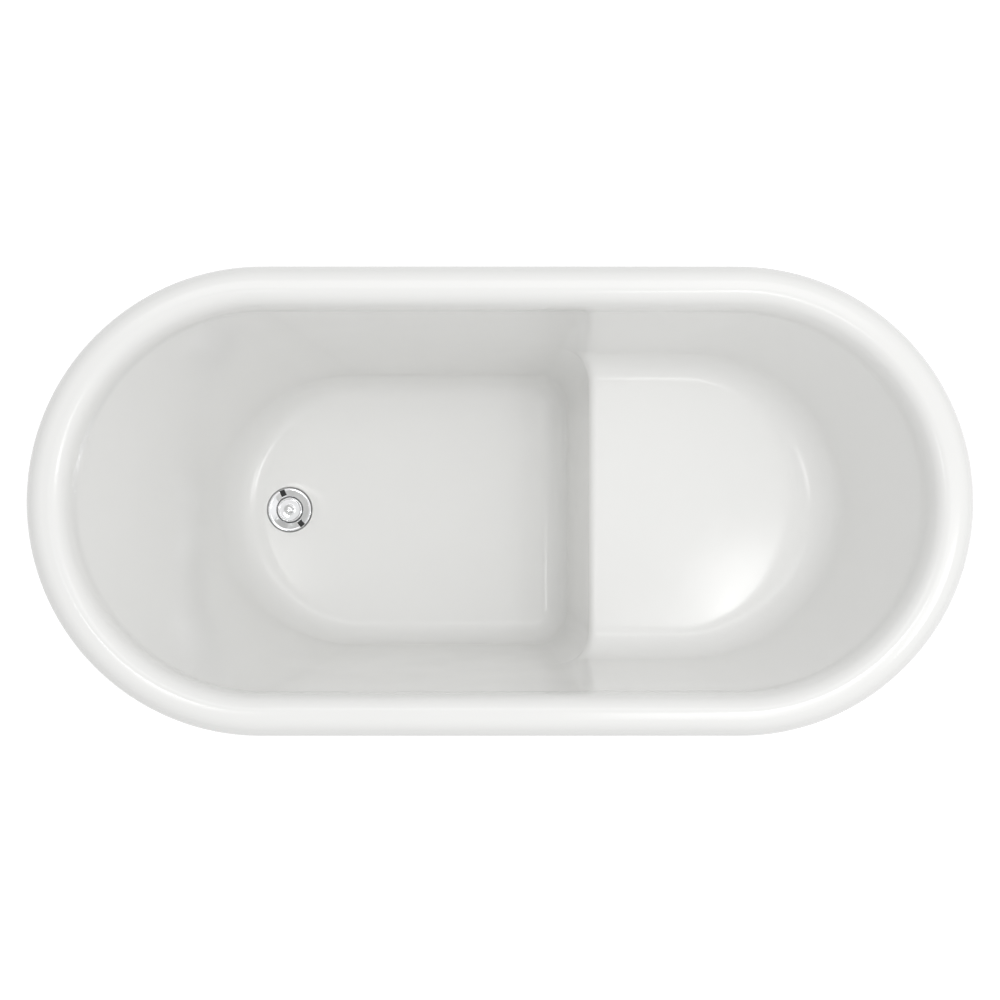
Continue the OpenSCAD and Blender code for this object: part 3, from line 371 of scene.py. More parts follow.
def between(row_a, row_b, steps):
    return [mix(row_a, row_b, i / steps) for i in range(1, steps)]


def rolled(plan, level, reach, rise):
    """Joins a wall and a flat with a fillet. Values are below 0 in the space that they enclose.

    plan is the distance beyond the wall, and level the distance beyond the flat.
    """
    u, v = 1 + plan / reach, 1 + level / rise
    up, vp = np.maximum(u, 0), np.maximum(v, 0)
    length = (up ** ROLL + vp ** ROLL) ** (1 / ROLL) + np.minimum(np.maximum(u, v), 0)
    a, b = up ** 2 + MIN_SHARE, vp ** 2 + MIN_SHARE
    return (length - 1) * (reach * a + rise * b) / (a + b)


def end_part(along, y):
    """How much a place in plan belongs to a rounded end: 0 at its sides and 1 on the long middle plane."""
    past = np.maximum(along, 0) ** 2
    return past / (past + y ** 2 + MIN_AREA)


def wall_gap(z):
    """How far the seat's side wall stands in from the foot well's."""
    return np.maximum(well_side(z) - seat_side(z), MIN_LENGTH)


def crossing_r(gap):
    """Radius of a corner that meets a wall, gap inside its own, CREASE_IN before the seat's front."""
    return CREASE_IN + gap + np.sqrt(2 * CREASE_IN * gap)


def well_space(x, y, z):
    """Below 0 in the foot well and above it, as far as the riser and its upright corners."""
    below = np.maximum(SEAT_Z - z, 0) / (SEAT_Z - FLOOR_Z)
    r = np.where(z > SEAT_Z, crossing_r(wall_gap(z)), mix(crossing_r(wall_gap(SEAT_Z)), RISER_CORNER, below))
    half, mid_x = well_side(z), mix(-END_X, WELL_X, wall_t(z))
    past_x, past_y = x - mix(SEAT_FRONT_X, RISER_FOOT_X, below) + r, y - half + r
    corner = (np.hypot(np.maximum(past_x, 0), np.maximum(past_y, 0))
              + np.minimum(np.maximum(past_x, past_y), 0) - r)
    plan = np.where(x < mid_x, np.hypot(np.minimum(x - mid_x, 0), y) - half, corner)
    part = end_part(mid_x - x, y)
    return rolled(plan, FLOOR_Z - z, mix(WELL_FILLET, END_REACH, part), mix(WELL_FILLET, END_RISE, part))


def seat_space(x, y, z):
    """Below 0 above the seat. The space is cut off at the bath's middle, inside the foot well's."""
    mid_x = mix(END_X, SEAT_X, seat_t(z))
    plan = np.hypot(np.maximum(x - mid_x, 0), y) - seat_side(z)
    part = end_part(x - mid_x, y)
    space = rolled(plan, SEAT_Z - z, mix(SEAT_FILLET, BACK_REACH, part), mix(SEAT_FILLET, BACK_RISE, part))
    return np.maximum(space, -x)


def inner_space(p):
    """Below 0 in the bath's inner space, above 0 in its shell, and 0 on the inner face.

    The two spaces join with a rounded edge: SEAT_EDGE at the seat's front, and CREASE_EDGE up the creases.
    """
    x, y, z = p[:, 0], np.abs(p[:, 1]), p[:, 2]
    well, seat = well_space(x, y, z), seat_space(x, y, z)
    edge = np.minimum(mix(SEAT_EDGE, CREASE_EDGE, smooth((z - SEAT_Z) / SEAT_FILLET)), wall_gap(z))
    near = np.maximum(edge - np.abs(well - seat), 0) / edge
    return np.minimum(well, seat) - near ** 2 * edge / 4


def onto_inner_face(points, turns):
    """Moves points along the slope of inner_space until they lie on the inner face."""
    probe = 0.02 * MM
    p = points.reshape(-1, 3)
    for _ in range(turns):
        value = inner_space(p)
        slope = np.column_stack([inner_space(p + probe * axis) - value for axis in np.eye(3)]) / probe
        p = p - slope * (value / np.maximum((slope ** 2).sum(axis=1), MIN_SLOPE))[:, None]
    return p.reshape(points.shape)


def eased(row_before, row_a, row_b, row_after, steps):
    """Rows from row_a to row_b that leave and arrive in the directions of their neighbours."""
    length = np.linalg.norm(row_b - row_a, axis=1)[:, None]
    start, end = row_a - row_before, row_after - row_b
    start = start / np.linalg.norm(start, axis=1)[:, None] * length
    end = end / np.linalg.norm(end, axis=1)[:, None] * length
    rows = []
    for t in np.linspace(0, 1, steps + 1)[1:-1]:
        a, b = (1 + 2 * t) * (1 - t) ** 2, t * t * (3 - 2 * t)
        rows.append(a * row_a + b * row_b + t * (1 - t) ** 2 * start - t * t * (1 - t) * end)
    return rows


def crease_columns(n, before, after):
    """Column numbers of the two creases in rows of n points, with some columns before and after each."""
    up = np.arange(END_POINTS - before, END_POINTS + len(CREASE_SHARE) + after)
    down = np.arange(n - len(CREASE_SHARE) - before, n + after) % n
    return up, down


def neighbours(g, cols):
    """Means of the two points beside, and of the two above and below, for all rows but the first and last."""
    n = g.shape[1]
    beside = (g[1:-1, (cols - 1) % n] + g[1:-1, (cols + 1) % n]) / 2
    above_below = (g[:-2, cols] + g[2:, cols]) / 2
    return beside, above_below


def settle(rows, turns):
    """Spreads the columns at the creases evenly over the inner face, and puts all points on it."""
    g = np.array(rows)
    g[1:-1] = onto_inner_face(g[1:-1], 6)
    for cols in crease_columns(g.shape[1], 4, 5):
        for _ in range(turns):
            beside, above_below = neighbours(g, cols)
            moved = 0.4 * g[1:-1, cols] + 0.4 * beside + 0.2 * above_below
            g[1:-1, cols] = onto_inner_face(moved, 1)
    g[1:-1] = onto_inner_face(g[1:-1], 3)
    return list(g)


def relax(rows, turns):
    """Softens the columns at the creases on the shell's back."""
    g = np.array(rows)
    for cols in crease_columns(g.shape[1], 3, 3):
        for _ in range(turns):
            beside, above_below = neighbours(g, cols)
            g[1:-1, cols] = 0.5 * g[1:-1, cols] + 0.3 * beside + 0.2 * above_below
    return list(g)


def mesh_object(name, verts, faces, material_of_face=None):
    mesh = bpy.data.meshes.new(name)
    mesh.from_pydata([tuple(v) for v in verts], [], faces)
    mesh.validate()
    mesh.polygons.foreach_set("use_smooth", [True] * len(mesh.polygons))
    if material_of_face is not None:
        mesh.polygons.foreach_set("material_index", material_of_face)
    mesh.update()
    obj = bpy.data.objects.new(name, mesh)
    bpy.context.scene.collection.objects.link(obj)
    return obj


def closed_grid(name, rows, index_of_row=None):
    """A mesh of closed rows, which also closes from the last row to the first."""
    n, count = len(rows[0]), len(rows)
    faces, index = [], []
    for j in range(count):
        a, b = j * n, (j + 1) % count * n
        for k in range(n):
            m = (k + 1) % n
            faces.append((a + k, a + m, b + m, b + k))
        index += [index_of_row[j] if index_of_row else 0] * n
    return mesh_object(name, np.vstack(rows), faces, index)


def build_basin():
    """The acrylic shell: its rim, its inner face, the waste's hole, and its back in a second material."""
    out_c = (END_R - RIM_OUT_R, TUB_H - RIM_OUT_R)
    in_c = (INNER_R + RIM_IN_R, TUB_H - RIM_IN_R)
    lip_in, edge, near = END_R - SHELL_T, 1.2 * MM, 0.36 * MM
    rim = rim_rows([(lip_in + edge, LIP_Z), (END_R - edge, LIP_Z), (END_R - near, LIP_Z + near),
                    (END_R, LIP_Z + edge)]
                   + arc_path(*out_c, RIM_OUT_R, 0, 90) + arc_path(*in_c, RIM_IN_R, 90, 150))
    inner_rows = settle(Wall(0).rows(), 30)
    wall, edge_row = inner_rows[WALL_START:], inner_rows[-1]
    shoulder = eased(rim[-2], rim[-1], wall[0], wall[1], ARC_STEPS)
    recess = waste_rows(edge_row, [(RECESS_R + 1.5 * MM, FLOOR_Z), (RECESS_R + 0.5 * MM, FLOOR_Z - 0.25 * MM),
                                   (RECESS_R, FLOOR_Z - 1 * MM), (RECESS_R, RECESS_Z), (TAIL_R, RECESS_Z),
                                   (TAIL_R, BOSS_Z)])
    boss = waste_rows(edge_row, [(BOSS_R, BOSS_Z), (BOSS_R, FLOOR_Z - SHELL_T)])
    front = rim + shoulder + wall + between(edge_row, recess[0], FLOOR_STEPS) + recess
    back_wall = relax(Wall(SHELL_T).rows(), 24)[::-1]
    back = boss + between(boss[-1], back_wall[0], FLOOR_STEPS) + back_wall
    under = rim_rows(arc_path(*in_c, RIM_IN_R - SHELL_T, 180, 90)
                     + arc_path(*out_c, RIM_OUT_R - SHELL_T, 90, 0)
                     + [(lip_in, LIP_Z + edge), (lip_in + near, LIP_Z + near)])
    index = [0] * len(front) + [1] * len(back) + [0] * len(under)
    obj = closed_grid("basin_shell", front + back + under, index)
    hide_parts("basin")
    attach(obj, "tub")
    obj.data.materials.append(MATERIALS["basin_acrylic"])
    obj.data.materials.append(glass_fibre("glass_fibre"))


def stadium(r, z):
    """One closed row round the tub's outline at the radius r."""
    right = rounded_end(0, END_X, r, 0)[:-1]
    left = rounded_end(0, -END_X, r, math.pi)[:-1]
    return raised(np.vstack([right, left]), z)


def build_skirt():
    """The outer shell: straight collar, bowed wall and turned-in foot."""
    collar_r = END_R - SHELL_T - BOND_T
    top, turn, foot = SKIRT_HIGH.z, LIP_Z - SKIRT_COLLAR, SKIRT_LOW.z
    foot_in = collar_r - SKIRT_LEAN - SKIRT_FOOT_W
    steps = 24
    wall = []
    for i in range(steps + 1):
        t = i / steps
        wall.append((collar_r - SKIRT_LEAN * t + 4 * SKIRT_BOW * t * (1 - t), mix(turn, foot, t)))
    outer = [(collar_r, top)] + wall
    inner = [(r - SKIRT_T, z) for r, z in reversed(wall[:-1])] + [(collar_r - SKIRT_T, top)]
    path = rounded(outer + [(foot_in, foot), (foot_in, foot + SKIRT_T)] + inner, 2 * MM)
    obj = closed_grid("skirt_shell", [stadium(r, z) for r, z in path])
    dress(obj, "skirt", "skirt_acrylic")


def rounded(points, radius):
    """The closed outline with each corner turned into a small curve, at most a part of its two sides long."""
    steps, most_of_side, straight_part = 4, 0.42, 0.02
    out = []
    for i, p in enumerate(points):
        p = np.array(p, float)
        to_a = np.array(points[i - 1], float) - p
        to_b = np.array(points[(i + 1) % len(points)], float) - p
        la, lb = np.linalg.norm(to_a), np.linalg.norm(to_b)
        straight = abs(np.dot(to_a, to_b) + la * lb) < straight_part * la * lb
        if p[0] < ON_AXIS or straight or min(la, lb) < ON_AXIS:
            out.append(tuple(p))
            continue
        d = min(radius, most_of_side * la, most_of_side * lb)
        for t in np.linspace(0, 1, steps + 1):
            out.append(tuple(bend(p + to_a / la * d, p, p + to_b / lb * d, t)))
    return out


def rounded_mm(outline, radius):
    """The same, in metres, for an outline and a radius in millimetres."""
    return rounded([(r * MM, z * MM) for r, z in outline], radius * MM)


# The CAD nodes that a piece replaces
DRESSED = {"basin"}


def dress(obj, node, slot, body=None):
    """Puts a piece in the place of a CAD node, with its material and its body."""
    DRESSED.add(node)
    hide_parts(node)
    if not obj.data.materials:
        obj.data.materials.append(MATERIALS[slot])
    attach(obj, body or "tub")


class Shape:
    """Vertices and faces of one or more closed pieces, gathered into one mesh."""

    def __init__(self):
        self.verts, self.faces = [], []

    def add(self, verts, faces):
        start = len(self.verts)
        self.verts += [tuple(v) for v in verts]
        self.faces += [tuple(start + i for i in f) for f in faces]

    def lathe(self, profile, place, steps, axis="Z", reach=None):
        """Turns a closed (radius, height) outline about an axis. reach(angle, r, z) may change the radius."""
        verts, rows = [], []
        for r, z in profile:
            if r < ON_AXIS:
                rows.append([len(verts)])
                verts.append((0, 0, z))
                continue
            rows.append(range(len(verts), len(verts) + steps))
            for k in range(steps):
                a = 2 * math.pi * k / steps
                q = reach(a, r, z) if reach else r
                verts.append((q * math.cos(a), q * math.sin(a), z))
        faces = []
        for low, high in zip(rows, rows[1:] + rows[:1]):
            if len(low) == 1 and len(high) == 1:
                continue
            for k in range(steps):
                m = (k + 1) % steps
                quad = [low[k % len(low)], low[m % len(low)], high[m % len(high)], high[k % len(high)]]
                faces.append(tuple(dict.fromkeys(quad)))
        v = np.array(verts)
        if axis == "X":
            v = np.column_stack([v[:, 2], v[:, 1], -v[:, 0]])
        self.add(v + np.array(place), faces)
        return self

    def mesh(self, name):
        return mesh_object(name, self.verts, self.faces)


def turned(name, outline, radius, place, steps, reach=None):
    """A piece turned about an upright axis, from an outline in millimetres that stands on place."""
    return Shape().lathe(rounded_mm(outline, radius), place, steps, reach=reach).mesh(name)


def cut_slots(obj, boxes):
    """Cuts (centre, size, turn) boxes out of a piece."""
    corners = [(x, y, z) for z in (-1, 1) for x, y in ((-1, -1), (1, -1), (1, 1), (-1, 1))]
    faces = [(3, 2, 1, 0), (4, 5, 6, 7), (0, 1, 5, 4), (1, 2, 6, 5), (2, 3, 7, 6), (3, 0, 4, 7)]
    for i, (centre, size, turn) in enumerate(boxes):
        half = np.array(size) / 2
        cutter = mesh_object("cutter", [half * corner for corner in corners], faces)
        cutter.rotation_euler = (0, 0, turn)
        cutter.location = centre
        bpy.context.view_layer.update()
        cut = obj.modifiers.new(f"slot_{i}", "BOOLEAN")
        cut.object, cut.operation, cut.solver = cutter, "DIFFERENCE", "EXACT"
        depsgraph = bpy.context.evaluated_depsgraph_get()
        mesh = bpy.data.meshes.new_from_object(obj.evaluated_get(depsgraph))
        obj.modifiers.remove(cut)
        obj.data = mesh
        bpy.data.objects.remove(cutter)


def mid(node):
    low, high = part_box(node)
    return (low + high) / 2


def turned_size(node):
    """Foot in metres, and radius and height in millimetres."""
    low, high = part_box(node)
    return low.z, (high.x - low.x) / 2 / MM, (high.z - low.z) / MM


def build_waste():
    """The chrome waste with its two wrench slots, and the stopper's hub. Outlines are in millimetres."""
    flange, tail, bore, ledge = FLANGE_R / MM, TAIL_R / MM, 21, 17.5
    foot, top = (WASTE_LOW.z - RECESS_Z) / MM, (WASTE_HIGH.z - RECESS_Z) / MM
    brim_z, dish_z, ledge_z, ledge_t = 1.5, 3, -2, 4
    outline = [
        (bore, foot), (tail, foot), (tail, brim_z), (flange, brim_z), (flange, top - 1),
        (flange - 1, top), (flange - 2.5, top), (flange - 4, top - 0.2),
        (bore + 0.8, dish_z), (bore, dish_z - 0.8), (bore, ledge_z), (ledge, ledge_z),
        (ledge, ledge_z - ledge_t), (bore, ledge_z - ledge_t)]
    obj = turned("waste_fitting", outline, 0.8, (WASTE_X, 0, RECESS_Z), 128)
    slot_r, slot_z = 28.6 * MM, RECESS_Z + (brim_z + 2) * MM
    slot_size = (10 * MM, 8.5 * MM, 8 * MM)
    slots = []
    for turn in (math.radians(-50), math.radians(112)):
        centre = (WASTE_X + slot_r * math.cos(turn), slot_r * math.sin(turn), slot_z)
        slots.append((centre, slot_size, turn))
    cut_slots(obj, slots)
    hub_r, hub_bore, hub_h, hub_foot = 6.5, 3, 6, BOSS_Z - 16 * MM
    hub = turned("waste_hub", [(hub_bore, 0), (hub_r, 0), (hub_r, hub_h), (hub_bore, hub_h)], 0.5,
                 (WASTE_X, 0, hub_foot), 48)
    dress(obj, "waste_body", "chrome")
    dress(hub, "waste_body", "chrome")


def build_stopper():
    """The cap with its low rim, and the knob with its waist. Outlines are in millimetres."""
    foot, r, h = turned_size("stopper_cap")
    under_r, under_z, dish_r, seat_r = 7.1, 1.8, 9, 7.5
    outline = [(0, under_z), (under_r, under_z), (under_r, 0), (r - 0.6, 0), (r, 0.8), (r, h - 1.2),
               (r - 0.9, h - 0.5), (r - 2.2, h - 0.1), (r - 3.4, h - 0.9), (dish_r, h - 0.7), (seat_r, h),
               (0, h)]
    cap = turned("stopper_cap_dressed", outline, 0.7, (WASTE_X, 0, foot), 128)
    dress(cap, "stopper_cap", "chrome", "stopper_top")
    foot, r, h = turned_size("stopper_knob")
    sunk, foot_r, waist_r = 0.1, 6, 4
    h += sunk
    outline = [(0, 0), (foot_r, 0), (4.6, 1.4), (waist_r, 3), (5.4, 4.6), (r, 6.2), (r, 8.4),
               (r - 1, h - 1.6), (r - 3, h - 0.3), (0, h)]
    knob = turned("stopper_knob_dressed", outline, 1.2, (WASTE_X, 0, foot - sunk * MM), 96)
    dress(knob, "stopper_knob", "chrome", "stopper_top")


def ribbed(count, depth, from_r):
    """A reach function that draws the radius in by depth between ribs, outside from_r (millimetres)."""
    steepness, rib_half = 4, 0.7

    def reach(angle, r, z):
        if r <= from_r * MM:
            return r
        phase = (angle * count / (2 * math.pi)) % 1
        return r - depth * MM * smooth(min(phase, 1 - phase) * steepness - rib_half)
    return reach


def nut_outline(r, bore, length, lip_bore):
    """A union nut with a lip at its foot that holds the collar or the seal, in millimetres."""
    edge, lip = 1.2, 3
    return [(bore, length), (bore, lip), (lip_bore, lip), (lip_bore, 0), (r - edge, 0),
            (r, edge), (r, length - edge), (r - edge, length)]


def build_trap():
    """The trap's two ribbed union nuts, and its cup with grips round it."""
    rounding = 0.6
    foot, r, length = turned_size("trap_inlet_nut")
    nut = turned("trap_inlet_nut_dressed", nut_outline(r, TAIL_R / MM, length, 20.5), rounding,
                 (WASTE_X, 0, foot), 240, ribbed(24, 1.6, r - 2))
    dress(nut, "trap_inlet_nut", "trap_plastic")
    low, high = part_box("trap_outlet_nut")
    r, length = (high.z - low.z) / 2 / MM, (high.x - low.x) / MM
    outline = rounded_mm(nut_outline(r, 23.6, length, 20.3), rounding)
    shape = Shape().lathe([(a, -b) for a, b in outline], (high.x, 0, (low.z + high.z) / 2), 240, "X",
                          ribbed(20, 1.5, r - 2))
    dress(shape.mesh("trap_outlet_nut_dressed"), "trap_outlet_nut", "trap_plastic")
    foot, r, h = turned_size("trap_cup")
    inner, well_r, floor_z, well_z = r - 2.8, r - 7, 5, 3
    outline = [(0, 0), (r - 2, 0), (r, 2), (r, h), (inner, h), (inner, floor_z), (well_r, floor_z),
               (well_r, well_z), (0, well_z)]
    cup = turned("trap_cup_dressed", outline, 0.7, (WASTE_X, 0, foot), 288, ribbed(36, 1, r - 0.6))
    dress(cup, "trap_cup", "trap_plastic")


def threads(shape, x, y, z0, z1, r, pitch, rows=8, steps=32):
    """A closed rod with a helical thread and chamfered ends, with this many rows for each turn."""
    depth = 0.55 * pitch
    count = int((z1 - z0) / pitch * rows)
    grid = []
    for j in range(count + 1):
        z = mix(z0, z1, j / count)
        end = min(z - z0, z1 - z) / pitch
        for k in range(steps):
            phase = ((z - z0) / pitch - k / steps) % 1
            q = min(r - depth * abs(2 * phase - 1), r - depth * (1 - min(1, end)))
            a = 2 * math.pi * k / steps
            grid.append((x + q * math.cos(a), y + q * math.sin(a), z))
    low, high = len(grid), len(grid) + 1
    faces = []
    for k in range(steps):
        m = (k + 1) % steps
        for j in range(count):
            a, b = j * steps, (j + 1) * steps
            faces.append((a + k, a + m, b + m, b + k))
        faces.append((low, m, k))
        faces.append((high, count * steps + k, count * steps + m))
    shape.add(grid + [(x, y, z0), (x, y, z1)], faces)


def build_feet():
    """Five threaded studs in ribbed pads. The pads' outline is in millimetres."""
    pad_edge_h, boss_r, boss_hole_r, socket_z = 6, 13, 6.6, 3.92
    hole = STUD_HOLE_R / MM
    for i in FEET:
        stud, pad = f"levelling_stud_{i}", f"levelling_pad_{i}"
        low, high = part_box(stud)
        centre = mid(stud)
        shape = Shape()
        threads(shape, centre.x, centre.y, low.z, high.z, (high.x - low.x) / 2, STUD_PITCH)
        dress(shape.mesh(stud + "_dressed"), stud, "stud_steel", f"stud_{i}")
        floor, r, h = turned_size(pad)
        outline = [(0, 0), (r - 1.5, 0), (r, 1.5), (r, pad_edge_h), (r - 1.5, pad_edge_h + 1.2), (boss_r, h),
                   (boss_hole_r, h), (hole, h - 1), (hole, socket_z), (0, socket_z)]
        foot = turned(pad + "_dressed", outline, 1, (centre.x, centre.y, floor), 192, pad_grip)
        dress(foot, pad, "pad_plastic", f"foot_{i}")


def pad_grip(angle, r, z):
    """Shallow grooves round the pad's edge, for the hand that turns it."""
    edge_from, count, depth = 21 * MM, 24, 0.8 * MM
    groove_from, steepness = 0.3, 8
    if r < edge_from:
        return r
    phase = (angle * count / (2 * math.pi)) % 1
    return r - depth * smooth((min(phase, 1 - phase) - groove_from) * steepness)


def hexagon(width, length, chamfer_foot, chamfer_top):
    """A reach function for a hexagon on a lathe. A steep cone cuts its corners at each chamfered end."""
    outer_from, cone_r, cone_slope, no_cone = width * 0.45, width / 2 * 0.97, 1.9, 1

    def reach(angle, r, z):
        if r < outer_from:
            return r
        turn = (angle + math.pi / 6) % (math.pi / 3) - math.pi / 6
        flat = width / 2 / math.cos(turn)
        end = min(z if chamfer_foot else no_cone, length - z if chamfer_top else no_cone)
        return min(flat, cone_r + end * cone_slope)
    return reach


def hex_profile(width, bore, length):
    """A nut's section, with rows close together near its ends, where the cones cut the corners."""
    shares = (0, 0.02, 0.06, 0.12, 0.2, 0.5, 0.8, 0.88, 0.94, 0.98, 1)
    return [(bore, length), (bore, 0)] + [(width / 2, f * length) for f in shares]


def build_nuts():
    """The hexagon nuts of the feet, and the waste's brass nut."""
    for node in ("weld_nuts", "lock_nuts"):
        low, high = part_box(node)
        length = high.z - low.z
        shape = Shape()
        for i in FEET:
            centre = mid(f"levelling_stud_{i}")
            shape.lathe(hex_profile(STUD_NUT_W, STUD_HOLE_R, length), (centre.x, centre.y, low.z), 72,
                        reach=hexagon(STUD_NUT_W, length, True, node == "lock_nuts"))
        dress(shape.mesh(node + "_dressed"), node, "fastener_steel")
    low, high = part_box("waste_backnut")
    width, length = min(high.x - low.x, high.y - low.y), high.z - low.z
    shape = Shape().lathe(hex_profile(width, TAIL_R, length), (WASTE_X, 0, low.z), 144,
                          reach=hexagon(width, length, True, True))
    dress(shape.mesh("waste_backnut_dressed"), "waste_backnut", "brass")


def build_screws():
    """Screws with pan heads and bolts with hexagon heads, all head down. Outlines are in millimetres."""
    r, head_h, shank_r = 4.75, 3, 2.5
    for node in ("bracket_screws", "skirt_screws", "board_screws"):
        shape = Shape()
        for x, y, z0, z1 in islands(node):
            length = (z1 - z0) / MM
            outline = [(0, 1.6), (1.5, 1.2), (1.9, 0.05), (r - 1.6, 0.3), (r, 1.7), (r, head_h - 0.1),
                       (shank_r, head_h), (shank_r, length - 1.5), (0.4, length), (0, length)]
            shape.lathe(rounded_mm(outline, 0.5), (x, y, z0), 40)
        dress(shape.mesh(node + "_dressed"), node, "fastener_steel")
    r, head_h, shank_r = 6.5, 5, 4
    shape = Shape()
    for x, y, z0, z1 in islands("rail_bolts"):
        length = (z1 - z0) / MM
        outline = [(0, 0), (r, 0), (r, 0.3), (r, 1), (r, head_h), (shank_r, head_h), (shank_r, length - 1),
                   (shank_r - 1, length), (0, length)]
        shape.lathe([(a * MM, b * MM) for a, b in outline], (x, y, z0), 72,
                    reach=hexagon(2 * r * MM, length * MM, True, False))
    dress(shape.mesh("rail_bolts_dressed"), "rail_bolts", "fastener_steel")


def islands(node):
    """Middle, foot and top of each solid of a CAD node. Solids stand more than near apart."""
    near = 20 * MM
    obj = NODES[node]
    groups = []
    for p in np.array([obj.matrix_world @ v.co for v in obj.data.vertices]):
        for g in groups:
            if abs(p[0] - g[0][0]) < near and abs(p[1] - g[0][1]) < near:
                g.append(p)
                break
        else:
            groups.append([p])
    out = []
    for g in groups:
        low, high = np.min(g, axis=0), np.max(g, axis=0)
        out.append(((low[0] + high[0]) / 2, (low[1] + high[1]) / 2, low[2], high[2]))
    return out


def soften(nodes, width):
    """Rounds the sharp edges of CAD nodes that keep their own mesh."""
    for node in nodes:
        obj = NODES[node]
        weld = obj.modifiers.new("weld", "WELD")
        weld.merge_threshold = 0.01 * MM
        bevel = obj.modifiers.new("edges", "BEVEL")
        bevel.width = width
        bevel.segments = 2
        bevel.limit_method = "ANGLE"
        bevel.angle_limit = math.radians(50)
        bevel.harden_normals = True


# Materials. Colours and roughnesses vary between two values, over noise in the object's own space.
def new_material(name):
    mat = bpy.data.materials.new(name)
    mat.use_nodes = True
    tree = mat.node_tree
    return mat, tree, tree.nodes["Principled BSDF"]


def coordinates(tree):
    return tree.nodes.new("ShaderNodeTexCoord").outputs["Object"]


def noise(tree, scale, detail=3.0, rough=0.5, stretch=None):
    tex = tree.nodes.new("ShaderNodeTexNoise")
    tex.inputs["Scale"].default_value = scale
    tex.inputs["Detail"].default_value = detail
    tex.inputs["Roughness"].default_value = rough
    source = coordinates(tree)
    if stretch:
        mapping = tree.nodes.new("ShaderNodeMapping")
        mapping.inputs["Scale"].default_value = stretch
        tree.links.new(source, mapping.inputs["Vector"])
        source = mapping.outputs["Vector"]
    tree.links.new(source, tex.inputs["Vector"])
    return tex.outputs["Fac"]


def ramp(tree, source, low, high, at=(0.35, 0.65)):
    node = tree.nodes.new("ShaderNodeValToRGB")
    for i, (place, value) in enumerate(zip(at, (low, high))):
        node.color_ramp.elements[i].position = place
        node.color_ramp.elements[i].color = (*value, 1)
    tree.links.new(source, node.inputs["Fac"])
    return node.outputs["Color"]


def math_node(tree, operation, source, other=None):
    """A math node on one socket, with a number or a second socket."""
    node = tree.nodes.new("ShaderNodeMath")
    node.operation = operation
    tree.links.new(source, node.inputs[0])
    if isinstance(other, (int, float)):
        node.inputs[1].default_value = other
    elif other is not None:
        tree.links.new(other, node.inputs[1])
    return node.outputs[0]


def grey(v):
    return (v, v, v)


def vary_roughness(tree, shader, scale, low, high):
    tree.links.new(ramp(tree, noise(tree, scale), grey(low), grey(high)), shader.inputs["Roughness"])


def vary_colour(tree, shader, scale, low, high, detail=3.0):
    tree.links.new(ramp(tree, noise(tree, scale, detail), low, high), shader.inputs["Base Color"])


def add_bump(tree, shader, source, strength, distance):
    bump = tree.nodes.new("ShaderNodeBump")
    bump.inputs["Strength"].default_value = strength
    bump.inputs["Distance"].default_value = distance
    tree.links.new(source, bump.inputs["Height"])
    tree.links.new(bump.outputs["Normal"], shader.inputs["Normal"])


def acrylic(name, tint):
    """Gloss sanitary acrylic, with the slight waviness of a formed sheet."""
    mat, tree, shader = new_material(name)
    vary_colour(tree, shader, 2.5, tuple(c * 0.985 for c in tint), tint)
    vary_roughness(tree, shader, 9.0, 0.13, 0.18)
    shader.inputs["IOR"].default_value = 1.49
    add_bump(tree, shader, noise(tree, 14.0, 1.0), 0.04, 0.4 * MM)
    return mat


def glass_fibre(name):
    """The rough resin back of the basin, with its chopped strands."""
    mat, tree, shader = new_material(name)
    vary_colour(tree, shader, 60.0, (0.50, 0.47, 0.37), (0.68, 0.65, 0.54), 6.0)
    vary_roughness(tree, shader, 40.0, 0.42, 0.7)
    add_bump(tree, shader, noise(tree, 220.0, 8.0, 0.7), 0.6, 1.2 * MM)
    return mat


def metal(name, low, high, rough, scale, relief, grain=400.0, stretch=None):
    """A metal whose colour, roughness and fine relief vary."""
    mat, tree, shader = new_material(name)
    shader.inputs["Metallic"].default_value = 1.0
    vary_colour(tree, shader, scale, low, high)
    vary_roughness(tree, shader, scale * 2, *rough)
    add_bump(tree, shader, noise(tree, grain, 3.0, 0.5, stretch), relief, 0.3 * MM)
    return mat


def galvanised(name):
    """Hot-dipped steel with its crystal spangle."""
    mat, tree, shader = new_material(name)
    shader.inputs["Metallic"].default_value = 1.0
    cells = tree.nodes.new("ShaderNodeTexVoronoi")
    cells.inputs["Scale"].default_value = 130.0
    tree.links.new(coordinates(tree), cells.inputs["Vector"])
    split = tree.nodes.new("ShaderNodeSeparateColor")
    tree.links.new(cells.outputs["Color"], split.inputs["Color"])
    tone = ramp(tree, split.outputs[0], (0.40, 0.42, 0.44), (0.58, 0.60, 0.62), (0.0, 1.0))
    tree.links.new(tone, shader.inputs["Base Color"])
    dull = ramp(tree, split.outputs[1], grey(0.32), grey(0.55), (0.0, 1.0))
    tree.links.new(dull, shader.inputs["Roughness"])
    add_bump(tree, shader, noise(tree, 300.0, 4.0), 0.08, 0.3 * MM)
    return mat


def upright_part(tree, vector):
    """The Z part of a vector socket."""
    split = tree.nodes.new("ShaderNodeSeparateXYZ")
    tree.links.new(vector, split.inputs["Vector"])
    return split.outputs["Z"]


